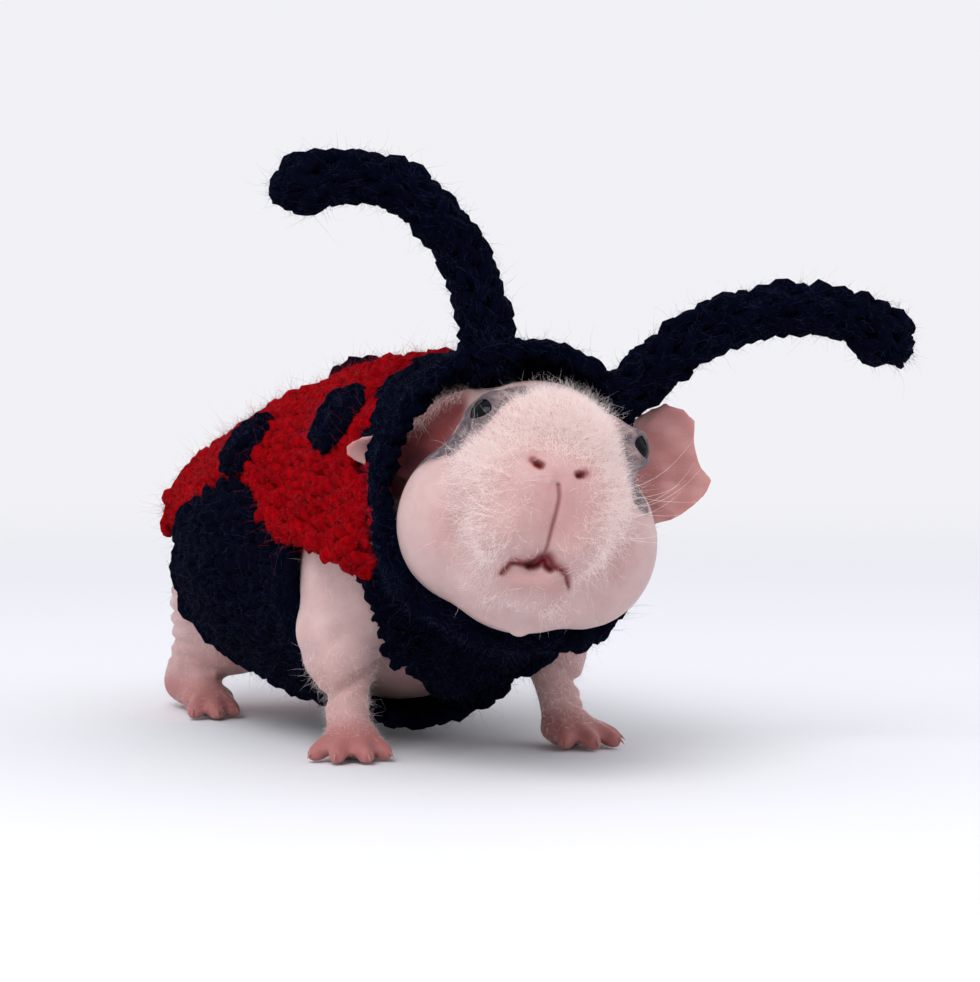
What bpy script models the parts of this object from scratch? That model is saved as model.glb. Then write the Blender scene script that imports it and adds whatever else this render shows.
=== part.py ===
"""A skinny pig (hairless guinea pig) standing in a crocheted ladybird costume, life size.

Sizes below are in millimetres and the model is made in metres. +Z is up and the animal faces -Y,
so its left side is at +X. The origin is on the floor, under the middle of the whole figure.
The flesh is pressed together from ellipsoids and parted by thin cuts. The wool is laid over it:
rays from an axis inside the body find the skin, and the cloth is stretched over the hollows.
"""

import math

import bmesh
import bpy
import numpy as np
from mathutils import Matrix, Vector
from mathutils.bvhtree import BVHTree

MM = 0.001

# Driving sizes of the animal
HEAD_WIDTH = 61.5
BODY_WIDTH = 80.0
SHOULDER_HEIGHT = 93.0
RUMP_HEIGHT = 77.0
FOREFOOT_SPREAD = 57.0
HINDFOOT_SPREAD = 62.0
FOREFOOT_Y = -52.0
HINDFOOT_Y = 44.0
TOES_OUT = 20.0
EYE_RADIUS = 4.4
EYE_AT = {"right": (-14.6, -12.5, 14.6), "left": (18.0, -12.5, 14.6)}
EYE_LOOKS = (0.80, -0.50, 0.28)
EAR_THICK = 1.3
EAR_CUP = 4.0

# The head is raised, turned to the animal's right and rolled over to its left
HEAD_AT = (-2.0, -100.0, 63.0)
HEAD_TURN = -17.0
HEAD_RAISE = 12.0
HEAD_ROLL = 13.5

# Clearances: SEAM parts two nodes, LOOSE lies between the skin and the wool
SEAM = 0.35
LOOSE = 0.8
WOOL = 3.4
HOOD_WOOL = 4.0

# Where the flesh is parted: the head's plane in its own frame, the neck's and the legs' in the body's
HEAD_CUT_Y = 16.0
NECK_CUT_AT = (0.0, -68.0, 60.0)
NECK_CUT_LEAN = 20.0
FORELEG_TOP = 48.0
FORELEG_BACK = -28.0
HINDLEG_TOP = 36.0
HINDLEG_FRONT = 24.0
LEG_CUT_IN = 15.0
LEG_CUT_LEAN = 0.25
FOREFOOT_HEIGHT = 9.5
HINDFOOT_HEIGHT = 10.0

# How many triangles the whole flesh is thinned to before the head, the feet and the trunk are cut
# from it, and how many each leg keeps
HEAD_FACES = 13300
FOOT_FACES = 10000
TRUNK_FACES = 4000
LEG_FACES = 340

# The figure is moved by this at the end, so that the origin is under the middle of its bounding box
TO_ORIGIN = (-16.0, 23.5, 0.0)

WORLD = Matrix.Scale(MM, 4)
HEAD = (
    WORLD
    @ Matrix.Translation(HEAD_AT)
    @ Matrix.Rotation(math.radians(HEAD_TURN), 4, "Z")
    @ Matrix.Rotation(math.radians(-HEAD_RAISE), 4, "X")
    @ Matrix.Rotation(math.radians(HEAD_ROLL), 4, "Y")
)
SIDES = {"right": -1, "left": 1}
SHARP_ANGLE = math.radians(50)


# Making and changing objects
def clear_scene():
    for obj in list(bpy.data.objects):
        bpy.data.objects.remove(obj, do_unlink=True)


def collection_named(name):
    found = bpy.data.collections.new(name)
    bpy.context.scene.collection.children.link(found)
    return found


def finish_of(name, colour, roughness):
    """A Principled material of one colour, linear RGB."""
    made = bpy.data.materials.new(name)
    made.use_nodes = True
    shader = made.node_tree.nodes["Principled BSDF"]
    shader.inputs["Base Color"].default_value = (*colour, 1.0)
    shader.inputs["Roughness"].default_value = roughness
    shader.inputs["Metallic"].default_value = 0.0
    return made


def object_of(name, mesh, where):
    obj = bpy.data.objects.new(name, mesh)
    where.objects.link(obj)
    return obj


def object_from(name, bm, where):
    mesh = bpy.data.meshes.new(name)
    bm.to_mesh(mesh)
    bm.free()
    return object_of(name, mesh, where)


def cutter_from(name, bm, cutters):
    obj = object_from(name, bm, cutters)
    obj.hide_render = True
    obj.display_type = "WIRE"
    return obj


def copy_of(obj, name, where):
    return object_of(name, obj.data.copy(), where)


def settle(obj):
    """Replaces an object's mesh with its evaluated one and drops its modifiers."""
    graph = bpy.context.evaluated_depsgraph_get()
    mesh = bpy.data.meshes.new_from_object(obj.evaluated_get(graph))
    obj.modifiers.clear()
    obj.data = mesh
    return obj


def surface_of(obj):
    """A tree of the object's faces, for rays and nearest points."""
    bm = bmesh.new()
    bm.from_mesh(obj.data)
    tree = BVHTree.FromBMesh(bm)
    bm.free()
    return tree


def thinned(obj, triangles):
    """Decimates to about this many triangles."""
    faces = sum(len(p.vertices) - 2 for p in obj.data.polygons)
    if faces > triangles:
        decimate = obj.modifiers.new("Fewer faces", "DECIMATE")
        decimate.ratio = triangles / faces
        settle(obj)
    return obj


def swollen(obj, gap, cutters):
    """A copy whose surface lies this far outside the object's own, to cut a neighbour clear of it."""
    made = copy_of(obj, obj.name + " clearance", cutters)
    made.hide_render = True
    made.display_type = "WIRE"
    displace = made.modifiers.new("Clearance", "DISPLACE")
    displace.strength = gap * MM
    displace.mid_level = 0
    return settle(made)


def cut_by(obj, cutter, solver="EXACT"):
    boolean = obj.modifiers.new("Cut", "BOOLEAN")
    boolean.operation = "DIFFERENCE"
    boolean.object = cutter
    boolean.solver = solver
    return largest_body(settle(obj))


def largest_body(obj):
    """Keeps the object's largest closed surface and drops scraps and sealed hollows."""
    bm = bmesh.new()
    bm.from_mesh(obj.data)
    bmesh.ops.dissolve_degenerate(bm, dist=1e-6, edges=bm.edges)
    bmesh.ops.triangulate(bm, faces=bm.faces)
    unseen, bodies = set(bm.verts), []
    while unseen:
        stack, body = [unseen.pop()], []
        while stack:
            vertex = stack.pop()
            body.append(vertex)
            for edge in vertex.link_edges:
                other = edge.other_vert(vertex)
                if other in unseen:
                    unseen.remove(other)
                    stack.append(other)
        bodies.append(body)
    keep = max(bodies, key=len)
    drop = [v for body in bodies if body is not keep for v in body]
    bmesh.ops.delete(bm, geom=drop, context="VERTS")
    bm.to_mesh(obj.data)
    bm.free()
    return obj


def sliced(obj, at, normal):
    """Keeps what lies on the side that the normal points to, and closes the cut with a flat face."""
    bm = bmesh.new()
    bm.from_mesh(obj.data)
    everything = bm.verts[:] + bm.edges[:] + bm.faces[:]
    cut = bmesh.ops.bisect_plane(
        bm, geom=everything, dist=1e-7, plane_co=at, plane_no=normal, clear_inner=True
    )
    edges = [e for e in cut["geom_cut"] if isinstance(e, bmesh.types.BMEdge)]
    bmesh.ops.triangle_fill(bm, edges=edges, use_beauty=True, normal=-Vector(normal))
    bmesh.ops.recalc_face_normals(bm, faces=bm.faces)
    bm.to_mesh(obj.data)
    bm.free()
    return obj


# Pressing flesh together from ellipsoids
def turned(angles):
    """A rotation by degrees about X, then Y, then Z."""
    rotation = Matrix.Identity(4)
    for angle, axis in zip(angles, "XYZ"):
        rotation = Matrix.Rotation(math.radians(angle), 4, axis) @ rotation
    return rotation


def unit_ball():
    bm = bmesh.new()
    bmesh.ops.create_uvsphere(bm, u_segments=20, v_segments=12, radius=1)
    mesh = bpy.data.meshes.new("unit ball")
    bm.to_mesh(mesh)
    bm.free()
    return mesh


def lump(bm, centre, semi, place=WORLD, turn=(0, 0, 0)):
    """Adds an ellipsoid with these half axes, turned by degrees about X, Y and Z."""
    ball = bpy.data.meshes.get("unit ball") or unit_ball()
    first = len(bm.verts)
    bm.from_mesh(ball)
    bm.verts.ensure_lookup_table()
    matrix = place @ Matrix.Translation(centre) @ turned(turn) @ Matrix.Diagonal((*semi, 1))
    bmesh.ops.transform(bm, matrix=matrix, verts=bm.verts[first:])


def limb(bm, stations, place=WORLD):
    """Adds a limb as overlapping balls along its bones: each station is (x, y, z, radius)."""
    for start, end in zip(stations, stations[1:]):
        start, end = Vector(start), Vector(end)
        reach = (end.xyz - start.xyz).length
        steps = max(2, math.ceil(reach / (0.45 * min(start.w, end.w))))
        for i in range(steps + 1):
            at = start.lerp(end, i / steps)
            lump(bm, at.xyz, (at.w,) * 3, place)


def pressed_together(name, bm, voxel, relax, where):
    """One smooth closed body from the overlapping forms, as clay would be pressed together."""
    obj = object_from(name, bm, where)
    remesh = obj.modifiers.new("Press together", "REMESH")
    remesh.mode = "VOXEL"
    remesh.voxel_size = voxel * MM
    smooth = obj.modifiers.new("Smooth", "SMOOTH")
    smooth.factor = 0.5
    smooth.iterations = relax
    return settle(obj)


def grooved(obj, path, radius, depth):
    """Sinks a soft groove along a path of points, or raises a ridge where the depth is negative."""
    mesh = obj.data
    count = len(mesh.vertices)
    at = np.empty(count * 3)
    mesh.vertices.foreach_get("co", at)
    at = at.reshape(count, 3)
    out = np.empty(count * 3)
    mesh.vertices.foreach_get("normal", out)
    out = out.reshape(count, 3)
    away = np.full(count, np.inf)
    for start, end in zip(path, path[1:]):
        start, run = np.array(start), np.array(end - start)
        share = np.clip((at - start) @ run / max(run @ run, 1e-12), 0, 1)
        away = np.minimum(away, np.linalg.norm(at - start - share[:, None] * run, axis=1))
    near = away < radius * MM
    fall = 0.5 + 0.5 * np.cos(np.pi * away[near] / (radius * MM))
    at[near] -= out[near] * fall[:, None] * depth * MM
    mesh.vertices.foreach_set("co", at.ravel())
    mesh.update()


def smooth_path(points, steps=6):
    """A smooth curve through the points, as Catmull and Rom draw it."""
    points = [Vector(p) for p in points]
    ends = [2 * points[0] - points[1]] + points + [2 * points[-1] - points[-2]]
    path = []
    for before, start, end, after in zip(ends, ends[1:], ends[2:], ends[3:]):
        for i in range(steps):
            t = i / steps
            path.append(
                0.5
                * (
                    2 * start
                    + (end - before) * t
                    + (2 * before - 5 * start + 4 * end - after) * t**2
                    + (3 * start - before - 3 * end + after) * t**3
                )
            )
    path.append(points[-1])
    return path


# The trunk: shoulders, barrel and rump, highest at the shoulders because the forelegs are straight
def trunk(where):
    half = BODY_WIDTH / 2
    bm = bmesh.new()
    lump(bm, (0, -38, SHOULDER_HEIGHT - 37), (half - 6, 35, 37))
    lump(bm, (0, -66, 66), (27, 26, 27))
    lump(bm, (0, 2, 48), (half, 50, 38))
    lump(bm, (0, -14, 42), (31, 36, 34))
    lump(bm, (0, 41, RUMP_HEIGHT - 34), (half - 5, 45, 34))
    for side in SIDES.values():
        lump(bm, (side * 22, -46, 45), (13, 17, 22))
        lump(bm, (side * 23, 49, 33), (14, 25, 25))
    return pressed_together("trunk", bm, 2.4, 26, where)


# Straight forelegs with four spread toes, and hind legs that stand on the whole long foot, with three
def toes(bm, foot, heading, spread, reach, root, radius):
    """Adds toes that fan out from a point of the foot: angles by degrees, each with its reach."""
    for angle, length in zip(spread, reach):
        way = Matrix.Rotation(math.radians(heading + angle), 4, "Z") @ Vector((0, -1, 0))
        start = Vector((*foot, 0)) + way * root
        knuckle = start + way * length * 0.55
        tip = start + way * length
        limb(
            bm,
            (
                (start.x, start.y, 4.6, radius * 1.1),
                (knuckle.x, knuckle.y, 4.0, radius),
                (tip.x, tip.y, 1.9, radius * 0.85),
            ),
        )


def legs(where):
    bm = bmesh.new()
    for side in SIDES.values():
        fore_x = side * FOREFOOT_SPREAD / 2
        limb(
            bm,
            (
                (side * 24, -44, 46, 13),
                (side * 26, -44.5, 33, 11.8),
                (side * 27, -45.5, 27, 10.4),
                (side * 27.5, -48, 21, 6.9),
                (side * 28, -50, 14, 5.6),
                (fore_x, FOREFOOT_Y, 8, 5.6),
            ),
        )
        lump(bm, (fore_x, FOREFOOT_Y - 3, 4.4), (7.4, 7.2, 4.8), turn=(0, 0, side * TOES_OUT))
        spread = [side * a for a in (-44, -15, 14, 43)]
        toes(bm, (fore_x, FOREFOOT_Y - 1), side * TOES_OUT, spread, (6.6, 9, 9, 7), 5.6, 2.4)
        hind_x = side * HINDFOOT_SPREAD / 2
        limb(
            bm,
            (
                (side * 24, 51.5, 29, 14.5),
                (side * 27.5, 52, 18, 10),
                (hind_x, HINDFOOT_Y + 18, 7, 6.2),
                (hind_x, HINDFOOT_Y + 8, 5.2, 5.4),
                (hind_x, HINDFOOT_Y - 2, 4.6, 4.8),
            ),
        )
        lump(bm, (hind_x, HINDFOOT_Y - 1, 4), (7.5, 8, 4.4))
        spread = [side * a for a in (-22, 0, 22)]
        toes(bm, (hind_x, HINDFOOT_Y), side * TOES_OUT / 2, spread, (7, 9.5, 8), 7.0, 2.4)
    return pressed_together("legs", bm, 0.9, 4, where)


# The head in its own frame: -Y is the way the nose points, +Z the crown
def skull_and_cheeks(where):
    half = HEAD_WIDTH / 2
    bm = bmesh.new()
    lump(bm, (0, 12, 8), (23, 27, 23), HEAD)
    lump(bm, (0, -2, -13), (20, 22, 18), HEAD)
    lump(bm, (0, -12, 6), (16, 24, 15), HEAD, (-20, 0, 0))
    lump(bm, (0, -15, -3), (21, 21, 17), HEAD)
    lump(bm, (0, -25, -4), (16.5, 17, 14.5), HEAD)
    lump(bm, (0, -34, -2), (10, 8, 8), HEAD)
    lump(bm, (1, -19, -20), (10.5, 11.5, 9), HEAD)
    for side in SIDES.values():
        lump(bm, (side * (half - 17.5) + 0.6, 2, -7), (17.5, 21, 19.5), HEAD)
        lump(bm, (side * 6.5, -29, -10), (9, 11, 10.5), HEAD)
        lump(bm, (side * 12, -7, 12), (9, 15, 11), HEAD)
    return pressed_together("head", bm, 1.2, 30, where)


def lids_and_wart(bm):
    for at in EYE_AT.values():
        lump(bm, at, (EYE_RADIUS + 1.2,) * 3, HEAD)
    lump(bm, (2.6, -6, -29.6), (2.4, 2.6, 3.2), HEAD)


def flesh(where):
    """The whole animal but its ears and eyes, as one dense body with its face drawn in."""
    parts = [trunk(where), legs(where), skull_and_cheeks(where)]
    bm = bmesh.new()
    for part in parts:
        bm.from_mesh(part.data)
    lids_and_wart(bm)
    body = pressed_together("flesh", bm, 0.85, 7, where)
    for part in parts:
        bpy.data.objects.remove(part)
    face_lines(body)
    return body


# The face: each line is drawn by the places that it passes, as seen from the front of the head
PHILTRUM = ((0.7, -1.0), (1.3, -6), (1.8, -12), (2.2, -17.5))
MOUTH = (
    (-5.8, -21.6),
    (-4.0, -19.2),
    (-1.0, -19.0),
    (2.2, -16.8),
    (4.5, -18.4),
    (7.4, -19.2),
    (9.4, -21.0),
)
MOUTH_OPEN = ((-0.8, -19.4), (1.8, -19.0), (3.8, -18.8))
LOWER_LIP = ((-4.0, -23.3), (2.2, -22.8), (8.0, -22.8))
NOSTRILS = (((-3.4, 0.6), (-4.6, 1.5), (-6.0, 2.6)), ((4.8, 0.6), (5.9, 1.3), (7.4, 2.0)))


def face_lines(body):
    tree = surface_of(body)
    inward = (HEAD.to_3x3() @ Vector((0, 1, 0))).normalized()

    def on_face(line):
        starts = [HEAD @ Vector((x, -80, z)) for x, z in line]
        return smooth_path([tree.ray_cast(start, inward)[0] for start in starts])

    grooved(body, on_face(PHILTRUM), 1.5, 1.3)
    grooved(body, on_face(LOWER_LIP), 3.4, -0.9)
    grooved(body, on_face(MOUTH), 1.5, 1.7)
    grooved(body, on_face(MOUTH_OPEN), 2.0, 1.8)
    for nostril in NOSTRILS:
        grooved(body, on_face(nostril), 1.6, 1.9)


# Eyes: glossy balls, each in a socket behind almond-shaped lids
LID_HALF = (3.7, 3.2)
LID_FLARE = 1.3
LID_PLUG_AT = 7.0
LID_PLUG_LENGTH = 9.0


def look_of(side):
    """The eye's frame: its middle, with +Z the way it looks and +X along the lids."""
    looks = Vector((SIDES[side] * EYE_LOOKS[0], EYE_LOOKS[1], EYE_LOOKS[2])).normalized()
    along = looks.cross(Vector((0, 0, 1))).normalized()
    up = looks.cross(along)
    turn = Matrix((along, up, looks)).transposed().to_4x4()
    return HEAD @ Matrix.Translation(EYE_AT[side]) @ turn


def eye_ball(name, side, radius, where):
    bm = bmesh.new()
    ball = look_of(side) @ Matrix.Scale(radius, 4)
    bmesh.ops.create_uvsphere(bm, u_segments=14, v_segments=8, radius=1, matrix=ball)
    return object_from(name, bm, where)


def lid_opening(side, cutters):
    """An elliptical plug that opens the lids over the front of the eye."""
    bm = bmesh.new()
    place = look_of(side) @ Matrix.Translation((0, 0, LID_PLUG_AT)) @ Matrix.Diagonal((*LID_HALF, 1, 1))
    bmesh.ops.create_cone(
        bm, cap_ends=True, segments=20, radius1=1, radius2=LID_FLARE, depth=LID_PLUG_LENGTH, matrix=place
    )
    return cutter_from("lid opening", bm, cutters)


# Parting the flesh
def parted_flesh(body, figure, cutters):
    """Head, neck, torso, legs and feet, parted by cuts that are SEAM wide."""
    gap = SEAM * MM / 2
    rear = (HEAD.to_3x3() @ Vector((0, 1, 0))).normalized()
    head_cut = HEAD @ Vector((0, HEAD_CUT_Y, 0))
    lean = math.radians(NECK_CUT_LEAN)
    back = Vector((0, math.cos(lean), -math.sin(lean)))
    neck_cut = WORLD @ Vector(NECK_CUT_AT)
    fine = thinned(copy_of(body, "fine", cutters), HEAD_FACES)
    medium = thinned(copy_of(body, "medium", cutters), FOOT_FACES)
    coarse = thinned(copy_of(body, "coarse", cutters), TRUNK_FACES)

    head = sliced(copy_of(fine, "head", figure), head_cut - rear * gap, -rear)
    for side in SIDES:
        socket = eye_ball("socket", side, EYE_RADIUS + SEAM, cutters)
        cut_by(head, lid_opening(side, cutters))
        cut_by(head, socket)
    nodes = [head]

    neck = sliced(copy_of(coarse, "neck", figure), head_cut + rear * gap, rear)
    nodes.append(sliced(neck, neck_cut - back * gap, -back))
    torso = sliced(copy_of(coarse, "torso", figure), neck_cut + back * gap, back)
    nodes.append(torso)

    for name, side in SIDES.items():
        # Each leg is what lies outside a leaning plane, below a level one, and before or behind another
        inner = Vector((side, 0, -LEG_CUT_LEAN)).normalized()
        up, ahead = Vector((0, 0, 1)), Vector((0, -1, 0))
        for kind, top, far, front, foot_height in (
            ("fore", FORELEG_TOP, FORELEG_BACK, ahead, FOREFOOT_HEIGHT),
            ("hind", HINDLEG_TOP, HINDLEG_FRONT, -ahead, HINDFOOT_HEIGHT),
        ):
            inside = WORLD @ Vector((side * LEG_CUT_IN, far, 20))
            leg_top = WORLD @ Vector((0, far, top))
            leg = copy_of(medium, kind + " leg", cutters)
            sliced(leg, inside + inner * gap, inner)
            sliced(leg, leg_top - up * gap, -up)
            sliced(leg, leg_top + front * gap, front)
            if kind == "fore":
                sliced(leg, neck_cut + back * gap, back)
            foot_top = WORLD @ Vector((0, 0, foot_height))
            foot = sliced(copy_of(leg, kind + "foot_" + name, figure), foot_top - up * gap, -up)
            nodes.append(largest_body(sliced(foot, Vector((0, 0, 0)), up)))
            upper = sliced(copy_of(leg, kind + "leg_" + name, figure), foot_top + up * gap, up)
            nodes.append(largest_body(thinned(upper, LEG_FACES)))
            region = leg_region(kind, inside - inner * gap, leg_top, inner, front, cutters, gap)
            cut_by(torso, region)
    return nodes


def leg_region(kind, inside, leg_top, inner, front, cutters, gap):
    """The convex space that a leg is cut from, as a solid to take away from the torso."""
    reach = 200 * MM
    bm = bmesh.new()
    bmesh.ops.create_cube(bm, size=2 * reach)
    region = cutter_from(kind + " region", bm, cutters)
    sliced(region, inside, inner)
    sliced(region, leg_top + Vector((0, 0, gap)), Vector((0, 0, -1)))
    return sliced(region, leg_top - front * gap, front)


# Wool laid over the body: rays from an axis inside find the skin, and the cloth bridges the hollows
def body_axis(y):
    """The axis of the trunk, which the rays of the garments start from."""
    return Vector((0, y, float(np.interp(y, (-20, 60), (50, 42)))))


OUTSIDE = 130.0


def outermost(tree, origin, way):
    """How far out along a ray the last surface lies, or nothing where there is none."""
    far = OUTSIDE * MM
    hit = tree.ray_cast(origin + way * far, -way, far)
    return far - hit[3] if hit[0] else 0.0


def laid_on(tree, rays, taut, closed):
    """A grid of places where wool lies: each ray is (origin, direction, how far it stands off)."""
    found = np.array([[outermost(tree, o, d) + (LOOSE + off) * MM for o, d, off in row] for row in rays])
    reach = found.copy()
    for _ in range(taut):
        if closed:
            beside = np.roll(reach, 1, 1) + np.roll(reach, -1, 1)
        else:
            edged = np.pad(reach, ((0, 0), (1, 1)), mode="edge")
            beside = edged[:, :-2] + edged[:, 2:]
        edged = np.pad(reach, ((1, 1), (0, 0)), mode="edge")
        reach = np.maximum(found, (beside + edged[:-2] + edged[2:]) / 4)
    rows = []
    for row, lengths in zip(rays, reach):
        rows.append([clear_of(tree, o + d * length) for (o, d, off), length in zip(row, lengths)])
    return rows


def clear_of(tree, point):
    """The same point, or one further out where it would lie closer to the skin than LOOSE."""
    near, normal, face, distance = tree.find_nearest(point)
    if (point - near).dot(normal) < LOOSE * MM:
        return near + normal * LOOSE * MM
    return point


def sheet_of(name, rows, rays, closed, thickness, where):
    """A sheet through a grid of points, given its thickness outwards by Solidify."""
    bm = bmesh.new()
    grid = [[bm.verts.new(point) for point in row] for row in rows]
    across = len(rows[0])
    for upper, lower in zip(grid, grid[1:]):
        for j in range(across if closed else across - 1):
            k = (j + 1) % across
            bm.faces.new((upper[j], upper[k], lower[k], lower[j]))
    bm.normal_update()
    bm.faces.ensure_lookup_table()
    middle = bm.faces[len(bm.faces) // 2]
    flat = [ray for row in rays for ray in row]
    nearest = min(flat, key=lambda ray: (ray[0] + ray[1] * 0.04 - middle.calc_center_median()).length)
    if middle.normal.dot(nearest[1]) < 0:
        bmesh.ops.reverse_faces(bm, faces=bm.faces)
    obj = object_from(name, bm, where)
    solidify = obj.modifiers.new("Wool", "SOLIDIFY")
    solidify.thickness = thickness * MM
    solidify.offset = 1
    solidify.use_even_offset = True
    settle(obj)
    bm = bmesh.new()
    bm.from_mesh(obj.data)
    bmesh.ops.triangulate(bm, faces=bm.faces)
    bm.to_mesh(obj.data)
    bm.free()
    return obj


# The hood runs from the face opening back to the neckline, where the wings and the bib begin
RIM_ANGLES = (0, 20, 38, 90, 125, 180, 270, 330, 360)
RIM_DEPTHS = (-2, 0, 15, 20, 15, 2, 6, 0, -2)
EAR_ROOM = 7.0
EAR_ROOM_AT = 302.0
EAR_ROOM_REACH = 62.0
NECKLINE_TOP = 48.0
NECKLINE_SIDE = 71.0


def neckline(angle):
    """How far forward the hood's rear edge lies: the angle is 0 at the top, by radians."""
    low = -NECKLINE_SIDE if math.cos(angle) < 0 else -NECKLINE_TOP
    return low - (NECKLINE_SIDE - NECKLINE_TOP) * (math.sin(angle) ** 2 if math.cos(angle) > 0 else 0)


def ear_room(angle):
    """How far the hood stands off over the folded right ear."""
    from_ear = abs(math.degrees(angle) - EAR_ROOM_AT)
    return EAR_ROOM * math.cos(math.radians(min(90, from_ear * 90 / EAR_ROOM_REACH))) ** 2


def hood_rays(rows=7, columns=32):
    rays = []
    for i in range(rows + 1):
        share = i / rows
        row = []
        for j in range(columns):
            angle = 2 * math.pi * j / columns
            way = Vector((math.sin(angle), 0, math.cos(angle)))
            rim = float(np.interp(math.degrees(angle), RIM_ANGLES, RIM_DEPTHS))
            at_face = HEAD @ Vector((0, rim, 2))
            at_neck = WORLD @ body_axis(neckline(angle))
            look = (HEAD.to_3x3() @ way).normalized().lerp(way, share).normalized()
            row.append((at_face.lerp(at_neck, share), look, ear_room(angle) * (1 - share)))
        rays.append(row)
    return rays


# The red wing cover lies over the back from the neckline to the rump
WING_STATIONS = (-66, -50, -36, -8, 12, 45, 64, 82)
WING_ANGLES = (95, 95, 87, 66, 66, 76, 72, 62)
RUMP_BEND_Y = 62.0
RUMP_BEND = 3.2
WING_EASE = 0.5
WING_LAP = 11.0
WING_GAP = 1.2


def wing_edge(y):
    """How far down each side the wing cover reaches, by degrees from the ridge of the back."""
    return float(np.interp(y, WING_STATIONS, WING_ANGLES))


def wing_rays(rows=14, columns=20):
    rays = []
    for i in range(rows + 1):
        row = []
        for j in range(columns + 1):
            across = 2 * j / columns - 1
            lap = WING_LAP * math.sin(math.pi / 2 * across) ** 2
            front = neckline(math.radians(WING_ANGLES[0] * across)) + WING_GAP - lap
            station = front + (WING_STATIONS[-1] - front) * i / rows
            angle = math.radians(wing_edge(station) * across)
            lean = math.radians(max(0, station - RUMP_BEND_Y) * RUMP_BEND)
            ridge = math.cos(angle)
            way = Vector((math.sin(angle), ridge * math.sin(lean), ridge * math.cos(lean)))
            origin = WORLD @ body_axis(min(station, RUMP_BEND_Y))
            row.append((origin, way.normalized(), WING_EASE * (1 + 2 * max(0, math.sin(lean)))))
        rays.append(row)
    return rays


# The black belly wrap joins the wings' lower edges under the body, puffed out on the flanks
WRAP_SHARES = (0, 0.35, 0.55, 0.75, 1)
WRAP_FRONT = (-30, -32, -34, -36, -37)
WRAP_BACK = (26, 25, 32, 40, 38)
WRAP_PUFF = 4.2
WRAP_SAG = 2.0


def wrap_rays(rows=7, columns=32):
    rays = []
    for i in range(rows + 1):
        share = i / rows
        row = []
        for j in range(columns + 1):
            turn = 2 * j / columns - 1
            front = np.interp(abs(turn), WRAP_SHARES, WRAP_FRONT)
            back = np.interp(abs(turn), WRAP_SHARES, WRAP_BACK)
            station = float(front + (back - front) * share)
            from_top = 180 - (178 - wing_edge(station)) * abs(turn)
            angle = math.radians(math.copysign(from_top, turn))
            flank = max(0, math.sin(math.pi * min(1, max(0, abs(turn) - 0.35) / 0.65)))
            sag = WRAP_SAG * (1 - share) * math.cos(math.pi / 2 * min(1, abs(turn) / 0.5))
            puff = WRAP_PUFF * flank * math.sin(math.pi * share) ** 0.6 + sag
            way = Vector((math.sin(angle), 0, math.cos(angle)))
            row.append((WORLD @ body_axis(station), way, puff))
        rays.append(row)
    return rays


# The bib covers the throat and chest under the hood, and on the left it runs on to the belly wrap.
# Its rays fan down from an axis across the chest, and its foot is told by degrees below level
BIB_AXIS = (-55.0, 50.0)
BIB_TOP_HALF = 35.0
BIB_FOOT_HALF = (-29.0, 18.0)
BIB_SHARES = (-1, -0.5, 0, 0.4, 0.75, 1)
BIB_FOOT = (64, 84, 104, 114, 108, 92)
BIB_SAG = 2.5


def bib_rays(rows=6, columns=14):
    rays = []
    for i in range(rows + 1):
        share = i / rows
        row = []
        for j in range(columns + 1):
            across = 2 * j / columns - 1
            at_foot = float(np.interp(across, (-1, 1), BIB_FOOT_HALF))
            x = across * BIB_TOP_HALF * (1 - share) + at_foot * share
            top = 4 + 20 * (1 - across * across)
            bottom = float(np.interp(across, BIB_SHARES, BIB_FOOT))
            down = math.radians(top + (bottom - top) * share)
            way = Vector((0, -math.cos(down), -math.sin(down)))
            row.append((WORLD @ Vector((x, *BIB_AXIS)), way, 1 + BIB_SAG * share))
        rays.append(row)
    return rays


def costume(body, figure, cutters, black, red):
    skin = surface_of(body)
    wings_at = wing_rays()
    wings = sheet_of("wing_cover", laid_on(skin, wings_at, 20, False), wings_at, False, WOOL, figure)
    hood_at = hood_rays()
    hood = sheet_of("hood", laid_on(skin, hood_at, 8, True), hood_at, True, HOOD_WOOL, figure)
    wrap_at = wrap_rays()
    wrap = sheet_of("belly_wrap", laid_on(skin, wrap_at, 10, False), wrap_at, False, WOOL, figure)
    bib_at = bib_rays()
    bib = sheet_of("bib", laid_on(skin, bib_at, 10, False), bib_at, False, WOOL, figure)
    cut_by(hood, swollen(wings, SEAM, cutters))
    cut_by(wrap, swollen(wings, SEAM, cutters))
    cut_by(bib, swollen(hood, SEAM, cutters))
    cut_by(bib, swollen(wings, SEAM, cutters))
    for node in (hood, wrap, bib):
        node.data.materials.append(black)
    wings.data.materials.append(red)
    return hood, wings


# A spot is a flat crocheted disc sewn on the wings: each is (degrees from the ridge, station)
SPOTS = ((-44, -50), (44, -50), (-55, -1), (55, -1), (0, 5), (0, 58))
SPOT_RADIUS = 8.1
SPOT_THICK = 2.3
SPOT_GAP = 0.56
SPOT_FROM = 20.0


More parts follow.
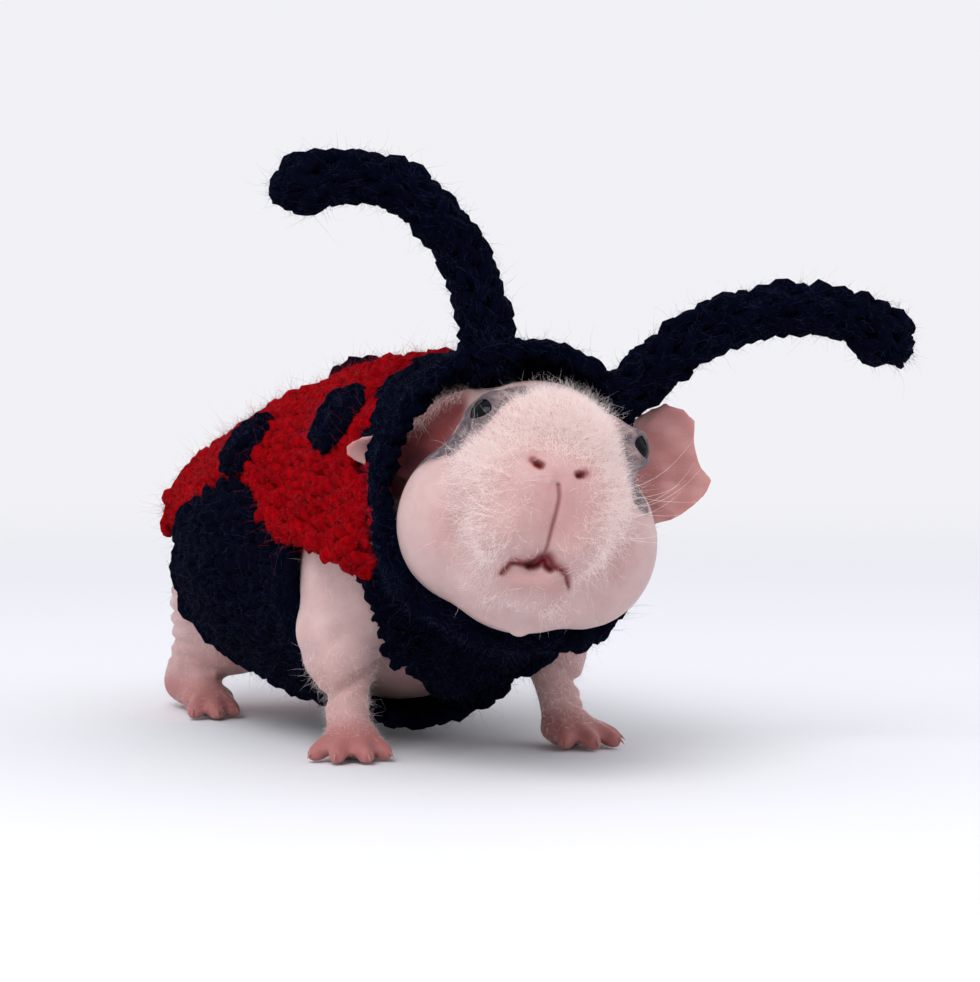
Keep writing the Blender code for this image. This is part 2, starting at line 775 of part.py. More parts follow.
def spot(name, angle, station, wings, where, radial=2, around=14):
    """A round sheet laid on the outside of the wings, ring by ring from its middle."""
    cloth = surface_of(wings)
    turn = math.radians(angle)
    way = Vector((math.sin(turn), 0, math.cos(turn)))
    side = Vector((math.cos(turn), 0, -math.sin(turn)))
    origin = WORLD @ body_axis(station)
    middle = origin + way * outermost(cloth, origin, way)
    along = Vector((0, 1, 0))
    bm = bmesh.new()
    rings = []
    for i in range(radial + 1):
        radius = SPOT_RADIUS * MM * i / radial
        ring = []
        for j in range(around if i else 1):
            bearing = 2 * math.pi * j / around
            start = middle + (side * math.cos(bearing) + along * math.sin(bearing)) * radius
            hit = cloth.ray_cast(start + way * SPOT_FROM * MM, -way)
            ring.append(bm.verts.new(hit[0] + hit[1] * SPOT_GAP * MM))
        rings.append(ring)
    for i in range(1, radial + 1):
        for j in range(around):
            k = (j + 1) % around
            inner = rings[i - 1]
            corners = (rings[i][j], rings[i][k], inner[k], inner[j]) if i > 1 else (
                rings[i][j],
                rings[i][k],
                inner[0],
            )
            bm.faces.new(corners)
    bm.normal_update()
    if bm.faces[:][0].normal.dot(way) < 0:
        bmesh.ops.reverse_faces(bm, faces=bm.faces)
    obj = object_from(name, bm, where)
    solidify = obj.modifiers.new("Wool", "SOLIDIFY")
    solidify.thickness = SPOT_THICK * MM
    solidify.offset = 1
    settle(obj)
    return cut_by(obj, swollen(wings, SEAM, bpy.data.collections["Cutters"]))


# Antennae: stuffed tubes that rise from the hood and bend outwards, each ending in a ball
ANTENNA_PATHS = {
    "right": (
        (-15, 24),
        (-17, 33),
        (-21, 44),
        (-28.5, 55),
        (-39.5, 63.5),
        (-51, 66),
        (-62.5, 62.5),
        (-72, 57),
    ),
    "left": ((12, 25), (18, 33), (31, 49), (44, 57), (57, 60), (68, 59), (77, 53.5)),
}
ANTENNA_RADIUS = 5.6
ANTENNA_TAPER = 0.7
ANTENNA_SWELL = (0.94, 1.04)
ANTENNA_FROM_Y = 8.0
ANTENNA_FORWARD = 12.0
BALL_RADIUS = 6.6
BALL_END_RADIUS = 2.2
ROW_LENGTH = 6.0


def antenna(name, side, figure):
    """A tube whose width swells at each crocheted row, read from a smooth curve through its route."""
    route = ANTENNA_PATHS[side]
    points = []
    for i, (x, z) in enumerate(route):
        y = ANTENNA_FROM_Y - ANTENNA_FORWARD * i / (len(route) - 1)
        points.append(HEAD @ Vector((x, y, z)))
    path = smooth_path(points, 12)
    lengths = [0.0]
    for before, after in zip(path, path[1:]):
        lengths.append(lengths[-1] + (after - before).length)
    whole = lengths[-1] / MM
    rows = round(whole / ROW_LENGTH) * 2
    curve = bpy.data.curves.new(name, "CURVE")
    curve.dimensions = "3D"
    curve.bevel_depth = MM
    curve.bevel_resolution = 2
    curve.use_fill_caps = True
    spline = curve.splines.new("POLY")
    spline.points.add(rows)
    for i, point in enumerate(spline.points):
        at = whole * i / rows
        place = [float(np.interp(at * MM, lengths, [p[axis] for p in path])) for axis in range(3)]
        point.co = (*place, 1)
        from_ball = abs(whole - BALL_RADIUS - at)
        ball = math.sqrt(max(0, BALL_RADIUS**2 - from_ball**2))
        tube = (ANTENNA_RADIUS - ANTENNA_TAPER * at / whole) * ANTENNA_SWELL[i % 2]
        near_end = at > whole - BALL_RADIUS
        point.radius = max(ball, BALL_END_RADIUS) if near_end else max(ball, tube)
    obj = object_of(name + " route", curve, figure)
    graph = bpy.context.evaluated_depsgraph_get()
    mesh = bpy.data.meshes.new_from_object(obj.evaluated_get(graph))
    bpy.data.objects.remove(obj)
    bm = bmesh.new()
    bm.from_mesh(mesh)
    bmesh.ops.remove_doubles(bm, verts=bm.verts, dist=1e-5)
    bmesh.ops.triangulate(bm, faces=bm.faces)
    return object_from(name, bm, figure)


# Ears: thin cupped flaps. Each outline runs from the top of the root round the edge to its bottom
EAR_ROOTS = {"right": ((-14, 11, 21), (-20, 11, 3)), "left": ((15, 12, 21), (21, 12, 3))}
EAR_OUTLINES = {
    "right": (
        (-14.5, 7, 26.0),
        (-24, 8, 22.5),
        (-30, 10, 15),
        (-37, 13, 10.5),
        (-42.5, 17, 6.5),
        (-38, 16, 2.5),
        (-32, 13, 1.5),
        (-27, 11, 0),
    ),
    "left": (
        (23, 9.5, 30),
        (30, 7.5, 33.5),
        (35.5, 6, 28.5),
        (36.6, 6, 20),
        (42.2, 4.5, 16.5),
        (39, 5, 8.5),
        (32, 7, 3),
        (27, 10, 4),
    ),
}


def ear(name, side, figure, radial=5, around=11):
    outline = smooth_path(EAR_OUTLINES[side], 8)
    top, bottom = (Vector(p) for p in EAR_ROOTS[side])
    bm = bmesh.new()
    grid = []
    for i in range(radial + 1):
        share = i / radial
        row = []
        for j in range(around + 1):
            along = j / around
            edge = outline[round(along * (len(outline) - 1))]
            place = top.lerp(bottom, along).lerp(edge, share)
            place.y += EAR_CUP * math.sin(math.pi * along) * math.sin(math.pi * share)
            row.append(bm.verts.new(HEAD @ place))
        grid.append(row)
    for inner, outer in zip(grid, grid[1:]):
        for j in range(around):
            bm.faces.new((inner[j], inner[j + 1], outer[j + 1], outer[j]))
    obj = object_from(name, bm, figure)
    solidify = obj.modifiers.new("Thickness", "SOLIDIFY")
    solidify.thickness = EAR_THICK * MM
    solidify.offset = 0
    settle(obj)
    bm = bmesh.new()
    bm.from_mesh(obj.data)
    bmesh.ops.triangulate(bm, faces=bm.faces)
    bmesh.ops.recalc_face_normals(bm, faces=bm.faces)
    bm.to_mesh(obj.data)
    bm.free()
    return obj


def main():
    clear_scene()
    figure = collection_named("Skinny pig in ladybird costume")
    cutters = collection_named("Cutters")
    skin = finish_of("Skin", (0.72, 0.42, 0.37), 0.5)
    black = finish_of("Black wool", (0.012, 0.014, 0.022), 0.9)
    red = finish_of("Red wool", (0.42, 0.008, 0.012), 0.9)
    glossy = finish_of("Eye", (0.01, 0.012, 0.02), 0.05)
    body = flesh(cutters)
    nodes = parted_flesh(body, figure, cutters)
    head, neck = nodes[:2]
    hood, wings = costume(body, figure, cutters, black, red)
    for name in SIDES:
        eye = eye_ball("eye_" + name, name, EYE_RADIUS, figure)
        eye.data.materials.append(glossy)
        flap = ear("ear_" + name, name, figure)
        cut_by(flap, swollen(head, SEAM, cutters), "MANIFOLD")
        cut_by(flap, swollen(neck, SEAM, cutters), "MANIFOLD")
        cut_by(hood, swollen(flap, SEAM, cutters), "MANIFOLD")
        cut_by(wings, swollen(flap, SEAM, cutters), "MANIFOLD")
        nodes.append(flap)
        feeler = antenna("antenna_" + name, name, figure)
        cut_by(feeler, swollen(head, SEAM, cutters), "MANIFOLD")
        cut_by(feeler, swollen(hood, SEAM, cutters))
        feeler.data.materials.append(black)
    for i, (angle, station) in enumerate(SPOTS):
        disc = spot(f"spot_{i + 1}", angle, station, wings, figure)
        disc.data.materials.append(black)
    for node in nodes:
        node.data.materials.clear()
        node.data.materials.append(skin)
    for obj in list(cutters.objects):
        bpy.data.objects.remove(obj)
    for obj in figure.objects:
        obj.data.transform(Matrix.Translation(Vector(TO_ORIGIN) * MM))
        obj.data.shade_smooth()
        obj.data.set_sharp_from_angle(angle=SHARP_ANGLE)


main()
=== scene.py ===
import math
from contextlib import contextmanager

import bmesh
import bpy
import numpy as np
from mathutils import Matrix, Vector
from mathutils.bvhtree import BVHTree


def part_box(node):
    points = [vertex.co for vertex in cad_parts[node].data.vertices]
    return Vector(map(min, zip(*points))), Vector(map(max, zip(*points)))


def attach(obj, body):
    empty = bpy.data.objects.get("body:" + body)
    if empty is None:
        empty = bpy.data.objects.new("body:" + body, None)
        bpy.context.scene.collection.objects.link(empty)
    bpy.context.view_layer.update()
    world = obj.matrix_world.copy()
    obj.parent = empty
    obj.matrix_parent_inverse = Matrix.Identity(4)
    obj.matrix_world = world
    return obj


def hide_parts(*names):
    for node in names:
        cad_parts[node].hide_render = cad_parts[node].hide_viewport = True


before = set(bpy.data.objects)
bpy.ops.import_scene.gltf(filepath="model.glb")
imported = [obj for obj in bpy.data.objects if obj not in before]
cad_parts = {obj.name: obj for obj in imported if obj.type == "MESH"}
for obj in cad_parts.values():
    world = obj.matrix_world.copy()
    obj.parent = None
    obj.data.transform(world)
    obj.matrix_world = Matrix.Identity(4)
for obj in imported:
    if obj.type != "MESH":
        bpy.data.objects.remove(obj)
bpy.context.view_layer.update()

# The camera stands before the animal's right shoulder, level with the top of its head, and a long
# lens keeps its face large. It looks down by 3 degrees
camera = bpy.data.objects.new("Camera", bpy.data.cameras.new("Camera"))
bpy.context.scene.collection.objects.link(camera)
bpy.context.scene.camera = camera
camera.location = (-0.3318, -0.7577, 0.105)
camera.rotation_euler = (math.radians(87.0), 0, math.radians(-24))
camera.data.sensor_width = 36
camera.data.lens = 120.15
camera.data.clip_start = 0.01

# The room: a nearly white floor that melts into a nearly white room, as a paper sweep does, and two
# large soft lamps, one high on the left of the picture and a weaker one on the right
FLOOR_COLOUR = "#e4e5ea"
ROOM_COLOUR = "#f5f5f9"
ROOM_LIGHT = 0.97
SWEEP = (0.35, 1.1)


def linear(colour):
    """An sRGB hex colour as linear RGBA."""
    parts = [int(colour[i : i + 2], 16) / 255 for i in (1, 3, 5)]
    return (*((c / 12.92 if c <= 0.04045 else ((c + 0.055) / 1.055) ** 2.4) for c in parts), 1.0)


def add(tree, kind, inputs=None, **settings):
    """Adds a node: inputs maps a socket's name or number to a value, a socket, or a node that feeds it."""
    made = tree.nodes.new(kind)
    for name, value in settings.items():
        setattr(made, name, value)
    for name, value in (inputs or {}).items():
        if isinstance(value, bpy.types.Node):
            value = next(socket for socket in value.outputs if socket.enabled)
        if isinstance(value, bpy.types.NodeSocket):
            tree.links.new(value, made.inputs[name])
        else:
            made.inputs[name].default_value = value
    return made


def material_of(name):
    """A new material with an empty tree: returns it, its tree and its Object coordinates."""
    made = bpy.data.materials.new(name)
    made.use_nodes = True
    tree = made.node_tree
    tree.nodes.clear()
    return made, tree, add(tree, "ShaderNodeTexCoord").outputs["Object"]


def object_of(name, mesh):
    made = bpy.data.objects.new(name, mesh)
    bpy.context.scene.collection.objects.link(made)
    return made


def mesh_of(name, points, faces):
    mesh = bpy.data.meshes.new(name)
    mesh.from_pydata([tuple(p) for p in points], [], [tuple(f) for f in faces])
    mesh.update()
    return mesh


painted, tree, place = material_of("Matt painted floor")
paint = add(tree, "ShaderNodeBsdfPrincipled", {"Base Color": linear(FLOOR_COLOUR), "Roughness": 0.8})
reach = add(tree, "ShaderNodeVectorMath", {0: place}, operation="LENGTH").outputs["Value"]
sweep = {"Value": reach, 1: SWEEP[0], 2: SWEEP[1]}
far_off = add(tree, "ShaderNodeMapRange", sweep, interpolation_type="SMOOTHSTEP")
glow = add(tree, "ShaderNodeEmission", {"Color": linear(ROOM_COLOUR), "Strength": ROOM_LIGHT})
melted = add(tree, "ShaderNodeMixShader", {0: far_off, 1: paint, 2: glow})
add(tree, "ShaderNodeOutputMaterial", {"Surface": melted})
floor_mesh = mesh_of("Floor", [(-6, -6, 0), (6, -6, 0), (6, 6, 0), (-6, 6, 0)], [(0, 1, 2, 3)])
floor_mesh.materials.append(painted)
object_of("Floor", floor_mesh)

bpy.context.scene.view_settings.view_transform = "Standard"
world = bpy.data.worlds.new("Pale room")
bpy.context.scene.world = world
world.use_nodes = True
room = world.node_tree.nodes["Background"].inputs
room["Color"].default_value = linear(ROOM_COLOUR)
room["Strength"].default_value = ROOM_LIGHT

for name, place, size, watts in (
    ("Key lamp", (-0.6, -0.7, 1.0), 0.7, 9.0),
    ("Fill lamp", (0.9, -0.5, 0.6), 0.8, 1.0),
):
    lamp = bpy.data.objects.new(name, bpy.data.lights.new(name, "AREA"))
    bpy.context.scene.collection.objects.link(lamp)
    lamp.location = place
    lamp.data.size = size
    lamp.data.energy = watts
    lamp.rotation_mode = "QUATERNION"
    lamp.rotation_quaternion = (Vector((0, 0, 0.06)) - Vector(place)).to_track_quat("-Z", "Y")

# The skin is bare, thin and pink, with redder ears, lips and feet, and a grey patch round each eye.
# It is pressed from all the nodes of flesh at once, so that no seam shows between them
MM = 0.001
BODY_AT = (-16.0, 23.5, 0.0)
HEAD = (
    Matrix.Scale(MM, 4)
    @ Matrix.Translation((-18.0, -76.5, 63.0))
    @ Matrix.Rotation(math.radians(-17), 4, "Z")
    @ Matrix.Rotation(math.radians(-12), 4, "X")
    @ Matrix.Rotation(math.radians(13.5), 4, "Y")
)
HEAD_TURN = HEAD.to_3x3().normalized()
head_turn = np.array(HEAD_TURN)
face_in = HEAD.to_3x3() @ Vector((0, 1, 0))
face_in.normalize()
EYE_AT = {-1: (-14.6, -12.5, 14.6), 1: (18.0, -12.5, 14.6)}
EYE_LOOKS = (0.80, -0.50, 0.28)
EYE_RADIUS = 4.4
SIDES = {"right": -1, "left": 1}
FLESH = ["head", "neck", "torso"] + [
    f"{part}_{side}" for part in ("foreleg", "forefoot", "hindleg", "hindfoot", "ear") for side in SIDES
]
BRIDGE = 0.4
LID_SWELL = 1.3
SKIN_GRAIN = 1.24
PHILTRUM = ((0.9, -2.2), (1.7, -5.4), (1.7, -11.8), (1.8, -16.6))
MOUTH = ((-5.8, -21.6), (-4.4, -19.4), (-1.2, -18.9), (2.2, -16.6), (4.6, -18.3), (7.4, -19.2), (9.4, -21.0))
MOUTH_OPEN = ((-0.6, -19.1), (1.0, -18.5), (2.1, -17.4), (3.0, -18.4), (4.0, -18.9))
LOWER_LIP = ((-4.0, -23.0), (2.0, -22.6), (8.0, -22.6))
NOSTRILS = (((-3.7, 1.3), (-4.4, 1.6), (-5.4, 2.3)), ((4.9, 1.2), (5.6, 1.5), (6.6, 2.2)))
LIPS = (((-6.5, -14.5), (-4.6, -16.6), (-1.4, -16.6)), ((4.6, -16.2), (7.0, -16.8), (9.0, -15.5)))


def eye_frame(side):
    """The eye's frame: its middle, with +Z the way it looks and +X along the lids, in millimetres."""
    looks = Vector((side * EYE_LOOKS[0], EYE_LOOKS[1], EYE_LOOKS[2])).normalized()
    along = looks.cross(Vector((0, 0, 1))).normalized()
    turn = Matrix((along, looks.cross(along), looks)).transposed().to_4x4()
    return HEAD @ Matrix.Translation(EYE_AT[side]) @ turn


def evaluated(obj):
    """The object with its modifiers applied."""
    graph = bpy.context.evaluated_depsgraph_get()
    mesh = bpy.data.meshes.new_from_object(obj.evaluated_get(graph))
    obj.modifiers.clear()
    obj.data = mesh
    return obj


@contextmanager
def reworked(mesh, source=None):
    """Edits a mesh as a bmesh, which starts as the source or else as the mesh itself."""
    bm = bmesh.new()
    bm.from_mesh(source or mesh)
    yield bm
    bm.to_mesh(mesh)
    bm.free()
    mesh.update()


def merged_copy(node, swell=0.0):
    """A welded copy of a CAD node's mesh, grown along its normals by millimetres."""
    mesh = bpy.data.meshes.new(node + " copy")
    with reworked(mesh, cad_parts[node].data) as bm:
        bmesh.ops.remove_doubles(bm, verts=bm.verts, dist=1e-6)
        bm.normal_update()
        for vertex, normal in [(v, v.normal.copy()) for v in bm.verts]:
            vertex.co += normal * swell * MM
    return mesh


def finished(piece, slot, *stands_for):
    """Hides the CAD nodes that a piece stands for, and makes it move with the body. What the piece is made
    of, its slot, is not used.
    """
    if stands_for:
        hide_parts(*stands_for)
    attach(piece, "root")
    return piece


def piece_of(name, mesh, material, slot, *stands_for):
    """A smooth mesh of one material as a finished piece."""
    mesh.shade_smooth()
    mesh.materials.append(material)
    return finished(object_of(name, mesh), slot, *stands_for)


def places(mesh, kind="co"):
    """A mesh's vertex places, or their normals, as an array."""
    out = np.empty(len(mesh.vertices) * 3, dtype=np.float32)
    mesh.vertices.foreach_get(kind, out)
    return out.reshape(-1, 3).astype(float)


def put_places(mesh, co):
    mesh.vertices.foreach_set("co", co.astype(np.float32).ravel())
    mesh.update()


def local(matrix, co):
    """Places in another frame."""
    back = np.array(matrix.inverted())
    return co @ back[:3, :3].T + back[:3, 3]


def spread(edge0, edge1, x):
    """A smooth step from 0 at edge0 to 1 at edge1."""
    t = np.clip((x - edge0) / (edge1 - edge0), 0, 1)
    return t * t * (3 - 2 * t)


def smooth_path(points, steps=6):
    """A smooth curve through the points, as Catmull and Rom draw it."""
    points = [Vector(p) for p in points]
    ends = [2 * points[0] - points[1]] + points + [2 * points[-1] - points[-2]]
    path = []
    for before, start, end, after in zip(ends, ends[1:], ends[2:], ends[3:]):
        for i in range(steps):
            t = i / steps
            path.append(
                0.5
                * (
                    2 * start
                    + (end - before) * t
                    + (2 * before - 5 * start + 4 * end - after) * t**2
                    + (3 * start - before - 3 * end + after) * t**3
                )
            )
    path.append(points[-1])
    return path


def near_path(co, path, radius):
    """1 on the path, falling to 0 at the radius, for each place."""
    away = np.full(len(co), np.inf)
    for start, end in zip(path, path[1:]):
        start, run = np.array(start), np.array(end - start)
        share = np.clip((co - start) @ run / max(run @ run, 1e-12), 0, 1)
        away = np.minimum(away, np.linalg.norm(co - start - share[:, None] * run, axis=1))
    return 0.5 + 0.5 * np.cos(np.pi * np.clip(away / (radius * MM), 0, 1))


def tree_of(mesh):
    bm = bmesh.new()
    bm.from_mesh(mesh)
    found = BVHTree.FromBMesh(bm)
    bm.free()
    return found


skin = object_of("skin", bpy.data.meshes.new("skin"))
with reworked(skin.data) as bm:
    for name in FLESH:
        bm.from_mesh(merged_copy(name, BRIDGE))
    for side in SIDES.values():
        lid = eye_frame(side) @ Matrix.Scale(EYE_RADIUS + LID_SWELL, 4)
        bmesh.ops.create_uvsphere(bm, u_segments=24, v_segments=16, radius=1, matrix=lid)
remesh = skin.modifiers.new("Press together", "REMESH")
remesh.mode = "VOXEL"
remesh.voxel_size = SKIN_GRAIN * MM
smooth = skin.modifiers.new("Smooth", "SMOOTH")
smooth.iterations = 3
evaluated(skin)

# Finer faces where the form is fine: twice over the eyes, nose and mouth, once over face and feet
def near_line(co, line, radius):
    """1 on a line drawn on the face as it is seen from the front, falling to 0 at the radius."""
    at = local(HEAD, co)
    path = smooth_path([Vector((x, 0, z)) * MM for x, z in line])
    return near_path(at * np.array((MM, 0, MM)), path, radius) * (at[:, 1] < -12)


for step in range(2):
    with reworked(skin.data) as bm:
        middles = np.array([f.calc_center_median() for f in bm.faces])
        at = local(HEAD, middles)
        fine = np.zeros(len(middles))
        for line in (PHILTRUM, MOUTH, *NOSTRILS):
            fine = np.maximum(fine, near_line(middles, line, 3.4))
        for side in SIDES.values():
            from_eye = local(eye_frame(side), middles)
            fine = np.maximum(fine, (np.linalg.norm(from_eye, axis=1) < 7.6) & (from_eye[:, 2] > 0))
        chosen = fine > 0.02
        if step == 0:
            on_head = (np.abs(at[:, 0]) < 24) & (at[:, 1] < -10) & (at[:, 1] > -50) & (np.abs(at[:, 2]) < 32)
            chosen |= on_head | (middles[:, 2] < 0.011)
        bm.faces.ensure_lookup_table()
        edges = {e for i in np.nonzero(chosen)[0] for e in bm.faces[i].edges}
        bmesh.ops.subdivide_edges(bm, edges=list(edges), cuts=1, use_grid_fill=True, smooth=0.9)
relax = skin.modifiers.new("Relax", "SMOOTH")
relax.iterations = 3
relax.factor = 0.4
evaluated(skin)

co = places(skin.data)
co -= places(skin.data, "normal") * (BRIDGE + 0.05) * MM
put_places(skin.data, co)

# Toes end in round pads
TOES_OUT = 20.0
FEET = (
    ("claws_fore", (28.5, -29.5), (-44, -15, 14, 43), (6.6, 9, 9, 7), 5.6, TOES_OUT),
    ("claws_hind", (31.0, 67.5), (-22, 0, 22), (7, 9.5, 8), 7.0, TOES_OUT / 2),
)


def toes_of(foot):
    """The direction and the tip of each toe of both feet, in millimetres."""
    middle, turns, reaches, root, heading = foot[1:]
    for side in SIDES.values():
        for turn, reach in zip(turns, reaches):
            way = Matrix.Rotation(math.radians(side * (heading + turn)), 3, "Z") @ Vector((0, -1, 0))
            yield way, Vector((BODY_AT[0] + side * middle[0], middle[1], 0)) + way * (root + reach + 0.9)


co = places(skin.data)
swell = np.zeros(len(co))
for foot in FEET:
    for way, tip in toes_of(foot):
        pad = [(tip - way * back + Vector((0, 0, 2.0))) * MM for back in (3.0, 1.6)]
        swell = np.maximum(swell, near_path(co, pad, 4.4))
co += places(skin.data, "normal") * (swell * 0.75 * MM)[:, None]
co[:, 2] = np.maximum(co[:, 2], 0.05 * MM)
put_places(skin.data, co)


def evened_out(chosen, times):
    """Smooths the chosen vertices of the skin."""
    axes = {"use_axis_x": True, "use_axis_y": True, "use_axis_z": True}
    with reworked(skin.data) as bm:
        bm.verts.ensure_lookup_table()
        found = [bm.verts[i] for i in np.nonzero(chosen)[0]]
        for _ in range(times):
            bmesh.ops.smooth_vert(bm, verts=found, factor=0.5, **axes)


# Folds and lines of the face: the lips are evened out, then come soft forms, then the lines cut in them
evened_out(near_line(co, MOUTH, 3.6) > 0.05, 25)
for line, radius, depth in (
    (((-7.5, -3), (-8.5, -9), (-7, -14)), 6.0, -0.7),
    (((10, -3), (11, -9), (9.5, -14)), 6.0, -0.7),
    (LIPS[0], 2.6, -0.5),
    (LIPS[1], 2.6, -0.5),
    (LOWER_LIP, 3.0, -0.8),
    *((line, 3.0, -0.5) for line in NOSTRILS),
    (PHILTRUM, 0.8, 0.6),
    (MOUTH, 2.4, 0.5),
    (MOUTH, 0.9, 1.2),
    (MOUTH_OPEN, 1.5, 1.7),
    *((line, 1.5, 0.9) for line in NOSTRILS),
    *((line[:2], 1.3, 1.3) for line in NOSTRILS),
):
    co = places(skin.data)
    co += np.array(face_in) * (near_line(co, line, radius) * depth * MM)[:, None]
    put_places(skin.data, co)
evened_out(near_line(co, MOUTH, 2.2) > 0.05, 3)

# Folds of loose skin: the upper arm hangs over the forearm in a step, with smaller creases above the
# wrist, and the rump and shank are creased across. Turns are degrees, 0 in front, and the crease tilts
def creased(x, y, height, depth, turns, tilt, radius=1.6):
    """Presses a crease round a leg whose middle is at x and y, in millimetres."""
    tree = tree_of(skin.data)
    path = []
    for degrees in range(turns[0], turns[1] + 1, 12):
        bearing = math.radians(degrees)
        way = Vector((math.sin(bearing), -math.cos(bearing), 0))
        start = Vector((x, y, height + tilt * math.sin(bearing))) * MM
        hit = tree.ray_cast(start + way * 0.03, -way)
        if hit[0]:
            path.append(hit[0])
    co = places(skin.data)
    co -= places(skin.data, "normal") * (near_path(co, path, radius) * depth * MM)[:, None]
    put_places(skin.data, co)


for side in SIDES.values():
    for height, depth, reach, radius in (
        (25.0, -1.3, 110, 8.0),
        (18.6, 1.9, 100, 2.2),
        (31.5, 0.35, 40, 1.4),
        (14.8, 0.35, 60, 1.3),
        (11.8, 0.35, 70, 1.3),
    ):
        creased(BODY_AT[0] + side * 27.5, -24, height, depth, (-reach, reach), -side * 4.5, radius)
    turns = (50, 182) if side > 0 else (-182, -50)
    for height, depth in ((34.0, 0.9), (29.5, 0.8), (25.5, 1.2), (21.5, 0.8), (17.5, 1.0), (13.5, 0.7)):
        creased(BODY_AT[0] + side * 27, 75, height, depth, turns, side * 1.5)

# The left ear's outline is evened out, and the right ear's tip stands out behind the hood
EAR_TIP = HEAD @ Vector((-42.5, 17, 6.5))
low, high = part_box("ear_left")
co = places(skin.data)
in_box = (co[:, 0] > low.x - 0.001) & (co[:, 0] < high.x + 0.001) & (co[:, 2] > low.z)
evened_out((local(HEAD, co)[:, 0] > 27) & in_box, 22)
co = places(skin.data)
pull = HEAD_TURN @ Vector((-1, -0.8, -0.4)) * 2.2 * MM
near = np.linalg.norm(co - np.array(EAR_TIP), axis=1) / MM
co += spread(9.0, 2.0, near)[:, None] * np.array(pull)
put_places(skin.data, co)

# The left ear is creased by ridges that fan out from its root, and its edge waves
EAR_ROOT = (18.0, 12.0)


def in_box(co, node, margin):
    """Which places lie in a CAD node's box, grown by a margin in metres."""
    low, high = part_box(node)
    return np.all((co > np.array(low) - margin) & (co < np.array(high) + margin), axis=1)


co = places(skin.data)
at = local(HEAD, co)
from_root = np.hypot(at[:, 0] - EAR_ROOT[0], at[:, 2] - EAR_ROOT[1])
fan = np.arctan2(at[:, 2] - EAR_ROOT[1], at[:, 0] - EAR_ROOT[0])
beyond = spread(18, 26, at[:, 0]) * in_box(co, "ear_left", 0.001)
wave = 0.55 * np.sin(9.0 * fan + 0.6) + 0.3 * np.sin(21.0 * fan + 0.35 * from_root)
wave += 0.35 * np.sin(0.9 * from_root + 3 * fan)
co += (beyond * wave * spread(4, 16, from_root))[:, None] * np.array(face_in) * MM
put_places(skin.data, co)

# Lids: the skin dips under the eyeball inside an almond and stands over it as a thin rim outside
LID_HALF = (3.4, 2.5)
LID_SUNK = 3.4
LID_OVER = EYE_RADIUS + 0.35
co = places(skin.data)
for side in SIDES.values():
    at = local(eye_frame(side), co)
    reach = np.linalg.norm(at, axis=1)
    way = at / np.maximum(reach, 1e-6)[:, None]
    flat = way * EYE_RADIUS
    bowed = LID_HALF[1] * (1 - 0.12 * (flat[:, 0] / 4) ** 2)
    almond = np.hypot(flat[:, 0] / LID_HALF[0], flat[:, 1] / bowed)
    near = (reach < 8.5) & (way[:, 2] > 0.2)
    rim = EYE_RADIUS + 0.55 + 0.35 * np.exp(-(((almond - 1.3) / 0.2) ** 2))
    target = LID_SUNK + (rim - LID_SUNK) * spread(0.92, 1.08, almond)
    blend = spread(1.25, 1.75, almond)
    lifted = np.maximum(target, LID_OVER) * (1 - blend) + np.maximum(reach, LID_OVER) * blend
    target = np.where(almond > 1.08, lifted, target)
    moved = (way * target[:, None])[near]
    matrix = np.array(eye_frame(side))
    co[near] = moved @ matrix[:3, :3].T + matrix[:3, 3]
put_places(skin.data, co)
skin.data.shade_smooth()

# Where the skin is flushed or grey, and where painted shade deepens it in its pits, creases and ear hollows,
# as numbers on its vertices that the material reads
co = places(skin.data)
at = local(HEAD, co)
flush = 0.42 * np.exp(-(((at[:, 0] - 2) / 12) ** 2 + ((at[:, 2] + 6) / 13) ** 2)) * (at[:, 1] < -18)
for x, z in ((-17, -11), (20, -9)):
    cheek = 0.3 * np.exp(-(((at[:, 0] - x) / 5) ** 2 + ((at[:, 2] - z) / 7) ** 2)) * (at[:, 1] < 0)
    flush = np.maximum(flush, cheek)
dark = np.zeros(len(co))
# Lips and nostrils are redder. Painted shade fills the nostrils, the open mouth and the creases of the mouth
# and philtrum, in a deep red like the inside of the mouth
for mark, line, radius, amount in (
    *((flush, line, 3.0, 0.7) for line in NOSTRILS),
    (flush, MOUTH, 2.2, 0.6),
    (flush, LOWER_LIP, 5.0, 0.35),
    (flush, PHILTRUM, 1.6, 0.4),
    *((dark, line, 1.1, 0.6) for line in NOSTRILS),
    *((dark, line[:2], 1.5, 1.0) for line in NOSTRILS),
    (dark, MOUTH_OPEN, 1.7, 1.0),
    (dark, MOUTH, 0.95, 0.85),
    (dark, PHILTRUM, 0.7, 0.6),
):
    np.maximum(mark, amount * near_line(co, line, radius), out=mark)
inside = in_box(co, "ear_left", 0.003)
tree = tree_of(merged_copy("ear_left"))
on_ear = np.zeros(len(co))
on_ear[inside] = [spread(2.6, 0.9, tree.find_nearest(Vector(place))[3] / MM) for place in co[inside]]
flush = np.maximum(flush, 0.6 * spread(18, 24, np.abs(at[:, 0])) * on_ear)
# The hollow of the left ear gets painted shade
cup = np.linalg.norm((at - np.array((25.0, 10.0, 13.0))) / np.array((6.0, 9.0, 10.0)), axis=1)
dark = np.maximum(dark, 0.4 * on_ear * spread(1.4, 0.3, cup))
EAR_EDGE = (
    (-14.5, 7, 26.0),
    (-24, 8, 22.5),
    (-30, 10, 15),
    (-37, 13, 10.5),
    (-42.5, 17, 6.5),
    (-38, 16, 2.5),
)
ear_rim = smooth_path([HEAD @ Vector(p) for p in EAR_EDGE])
off_rim = 1 - near_path(co, ear_rim, 5.0)
